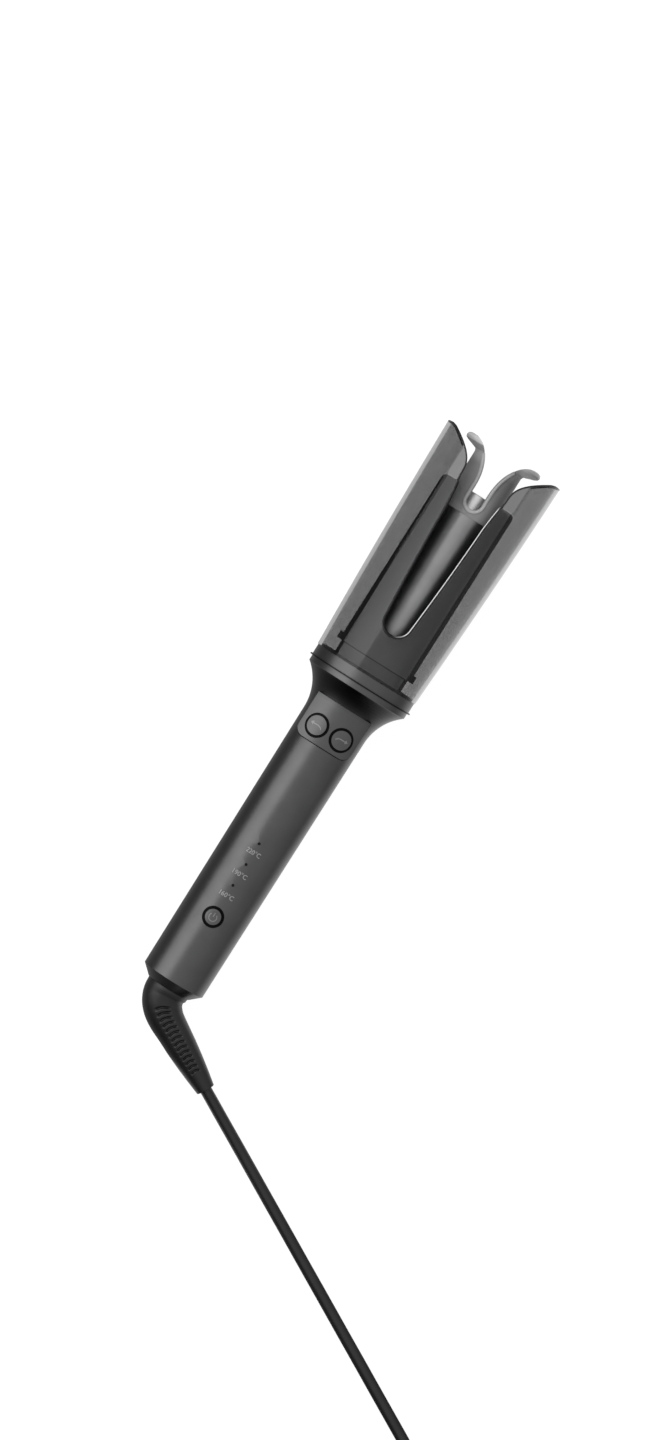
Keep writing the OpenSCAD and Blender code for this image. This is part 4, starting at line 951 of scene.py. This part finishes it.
# Temperature marks: the text is made a mesh, sized, and laid on the round grip
def makeMarks(shape):
    mesh = bmesh.new()
    for words, y in shape["marks"]:
        text = bpy.data.curves.new("mark", "FONT")
        text.body = words
        text.align_x, text.size, text.extrude = "CENTER", 1.0, shape["extrude"]
        text.resolution_u = 4
        holder = bpy.data.objects.new("mark", text)
        bpy.context.scene.collection.objects.link(holder)
        bpy.context.view_layer.update()
        flat = bpy.data.meshes.new_from_object(holder.evaluated_get(bpy.context.evaluated_depsgraph_get()))
        bpy.data.objects.remove(holder)
        letters = bmesh.new()
        letters.from_mesh(flat)
        bmesh.ops.remove_doubles(letters, verts=letters.verts, dist=1e-5)
        across = [v.co.x for v in letters.verts]
        up = [v.co.y for v in letters.verts]
        middle, foot = (min(across) + max(across)) / 2, min(up)
        wide, tall = max(across) - min(across), max(up) - min(up)
        for vertex in letters.verts:
            x = (vertex.co.x - middle) / wide * shape["width"]
            height = y - shape["height"] / 2 + (vertex.co.y - foot) / tall * shape["height"]
            angle = x / gripRadius(height)
            radius = gripRadius(height) + math.copysign(inkHalf, vertex.co.z)
            vertex.co = toTable(Vector((radius * math.sin(angle), height, radius * math.cos(angle))))
        piece = bpy.data.meshes.new("mark")
        letters.to_mesh(piece)
        letters.free()
        mesh.from_mesh(piece)
    newPiece("temperatureMarks", mesh, "iron", materials["printGrey"], smooth=False)


makeMarks(markShape)
print("symbols and marks printed")


# 1 where the camera or a transmitted ray meets the backdrop
def addSeen(tree, path):
    return addMath(tree, "MAXIMUM", path["Is Camera Ray"], path["Is Transmission Ray"])


# The pale floor. Gloss mirrors it dim under the handle, bright along its right and black towards the cord.
floorLook = {
    "half": 6.0, "colour": (0.14, 0.14, 0.14), "glow": 0.965, "shine": 0.08, "cordEnd": (-0.34, -0.20),
    "strip": {"bright": 1.0, "rise": (0.012, 0.022), "fall": (0.045, 0.15)},
    "under": {"bright": 0.26, "fall": (-0.045, -0.10)},
}


def makeFloor(values):
    mesh = bmesh.new()
    bmesh.ops.create_grid(mesh, x_segments=2, y_segments=2, size=values["half"])
    data = bpy.data.meshes.new("studioFloor")
    mesh.to_mesh(data)
    mesh.free()
    floor = bpy.data.objects.new("studioFloor", data)
    bpy.context.scene.collection.objects.link(floor)
    material = bpy.data.materials.new("paleFloor")
    material.use_nodes = True
    tree = material.node_tree
    tree.nodes.clear()
    output = tree.nodes.new("ShaderNodeOutputMaterial")
    matte = tree.nodes.new("ShaderNodeBsdfDiffuse")
    matte.inputs["Color"].default_value = (*values["colour"], 1)
    glow = tree.nodes.new("ShaderNodeEmission")
    path = tree.nodes.new("ShaderNodeLightPath").outputs
    place = addSplit(tree, objectPlaces(tree))
    strip, under = values["strip"], values["under"]
    rise = addRamp(tree, place["X"], 0.0, strip["bright"], *strip["rise"])
    right = addMath(tree, "MULTIPLY", rise, addRamp(tree, place["X"], 1.0, 0.0, *strip["fall"]))
    dim = addRamp(tree, place["X"], under["bright"], 0.0, *under["fall"])
    mirrored = addMath(tree, "MAXIMUM", dim, right, values["shine"])
    onHandle = addRamp(tree, place["Y"], 0.0, 1.0, *values["cordEnd"])
    shine = addMath(tree, "MULTIPLY", path["Is Glossy Ray"], addMath(tree, "MULTIPLY", mirrored, onHandle))
    plain = addMath(tree, "MULTIPLY", addSeen(tree, path), values["glow"])
    tree.links.new(addMath(tree, "MAXIMUM", shine, plain), glow.inputs["Strength"])
    both = tree.nodes.new("ShaderNodeAddShader")
    tree.links.new(matte.outputs["BSDF"], both.inputs[0])
    tree.links.new(glow.outputs["Emission"], both.inputs[1])
    tree.links.new(both.outputs["Shader"], output.inputs["Surface"])
    floor.data.materials.append(material)


makeFloor(floorLook)

# The tent is brightest overhead, dim low on the left and dark low towards the cord.
# Each range is of the ray's direction.
tent = {
    "overhead": 0.88, "horizon": 0.36, "rightSide": 0.19, "rightRange": (0.9, 1.0), "cordEnd": 0.02,
    "cordRange": (-0.90, -0.42), "leftSide": 0.22, "leftRange": (-0.95, -0.45), "soft": 0.62,
}


def makeWorld(values):
    world = bpy.data.worlds.new("studioWorld")
    bpy.context.scene.world = world
    world.use_nodes = True
    tree = world.node_tree
    background = tree.nodes["Background"]
    background.inputs["Color"].default_value = (1, 1, 1, 1)
    ray = addSplit(tree, tree.nodes.new("ShaderNodeTexCoord").outputs["Generated"])
    overhead = addRamp(tree, ray["Z"], values["horizon"], values["overhead"], 0.0, 1.0)
    rightSide = addRamp(tree, ray["X"], 0.0, values["rightSide"], *values["rightRange"])
    cordEnd = addRamp(tree, ray["Y"], values["cordEnd"], 1.0, *values["cordRange"])
    leftSide = addRamp(tree, ray["X"], values["leftSide"], 1.0, *values["leftRange"])
    light = addMath(tree, "MULTIPLY", addMath(tree, "ADD", overhead, rightSide), cordEnd, leftSide)
    path = tree.nodes.new("ShaderNodeLightPath").outputs
    mirrored = addRamp(tree, path["Is Glossy Ray"], values["soft"], 1.0, 0.0, 1.0)
    shine = addMath(tree, "MULTIPLY", light, mirrored)
    tree.links.new(addMath(tree, "MAXIMUM", shine, addSeen(tree, path)), background.inputs["Strength"])


makeWorld(tent)

lamps = {
    "leftBox": {"place": (-0.743, 0.0, 0.70), "aim": (0, 0, 0.03), "size": (1.6, 1.0), "power": 8.8},
}


def makeLamp(name, values):
    data = bpy.data.lights.new(name, "AREA")
    data.shape = "RECTANGLE"
    data.size, data.size_y = values["size"]
    data.energy = values["power"]
    lamp = bpy.data.objects.new(name, data)
    bpy.context.scene.collection.objects.link(lamp)
    place = Vector(values["place"])
    turn = (Vector(values["aim"]) - place).to_track_quat("-Z", "Y")
    lamp.matrix_world = Matrix.Translation(place) @ turn.to_matrix().to_4x4()


for name, values in lamps.items():
    makeLamp(name, values)
bpy.context.scene.view_settings.view_transform = "Standard"
print("stage lit")
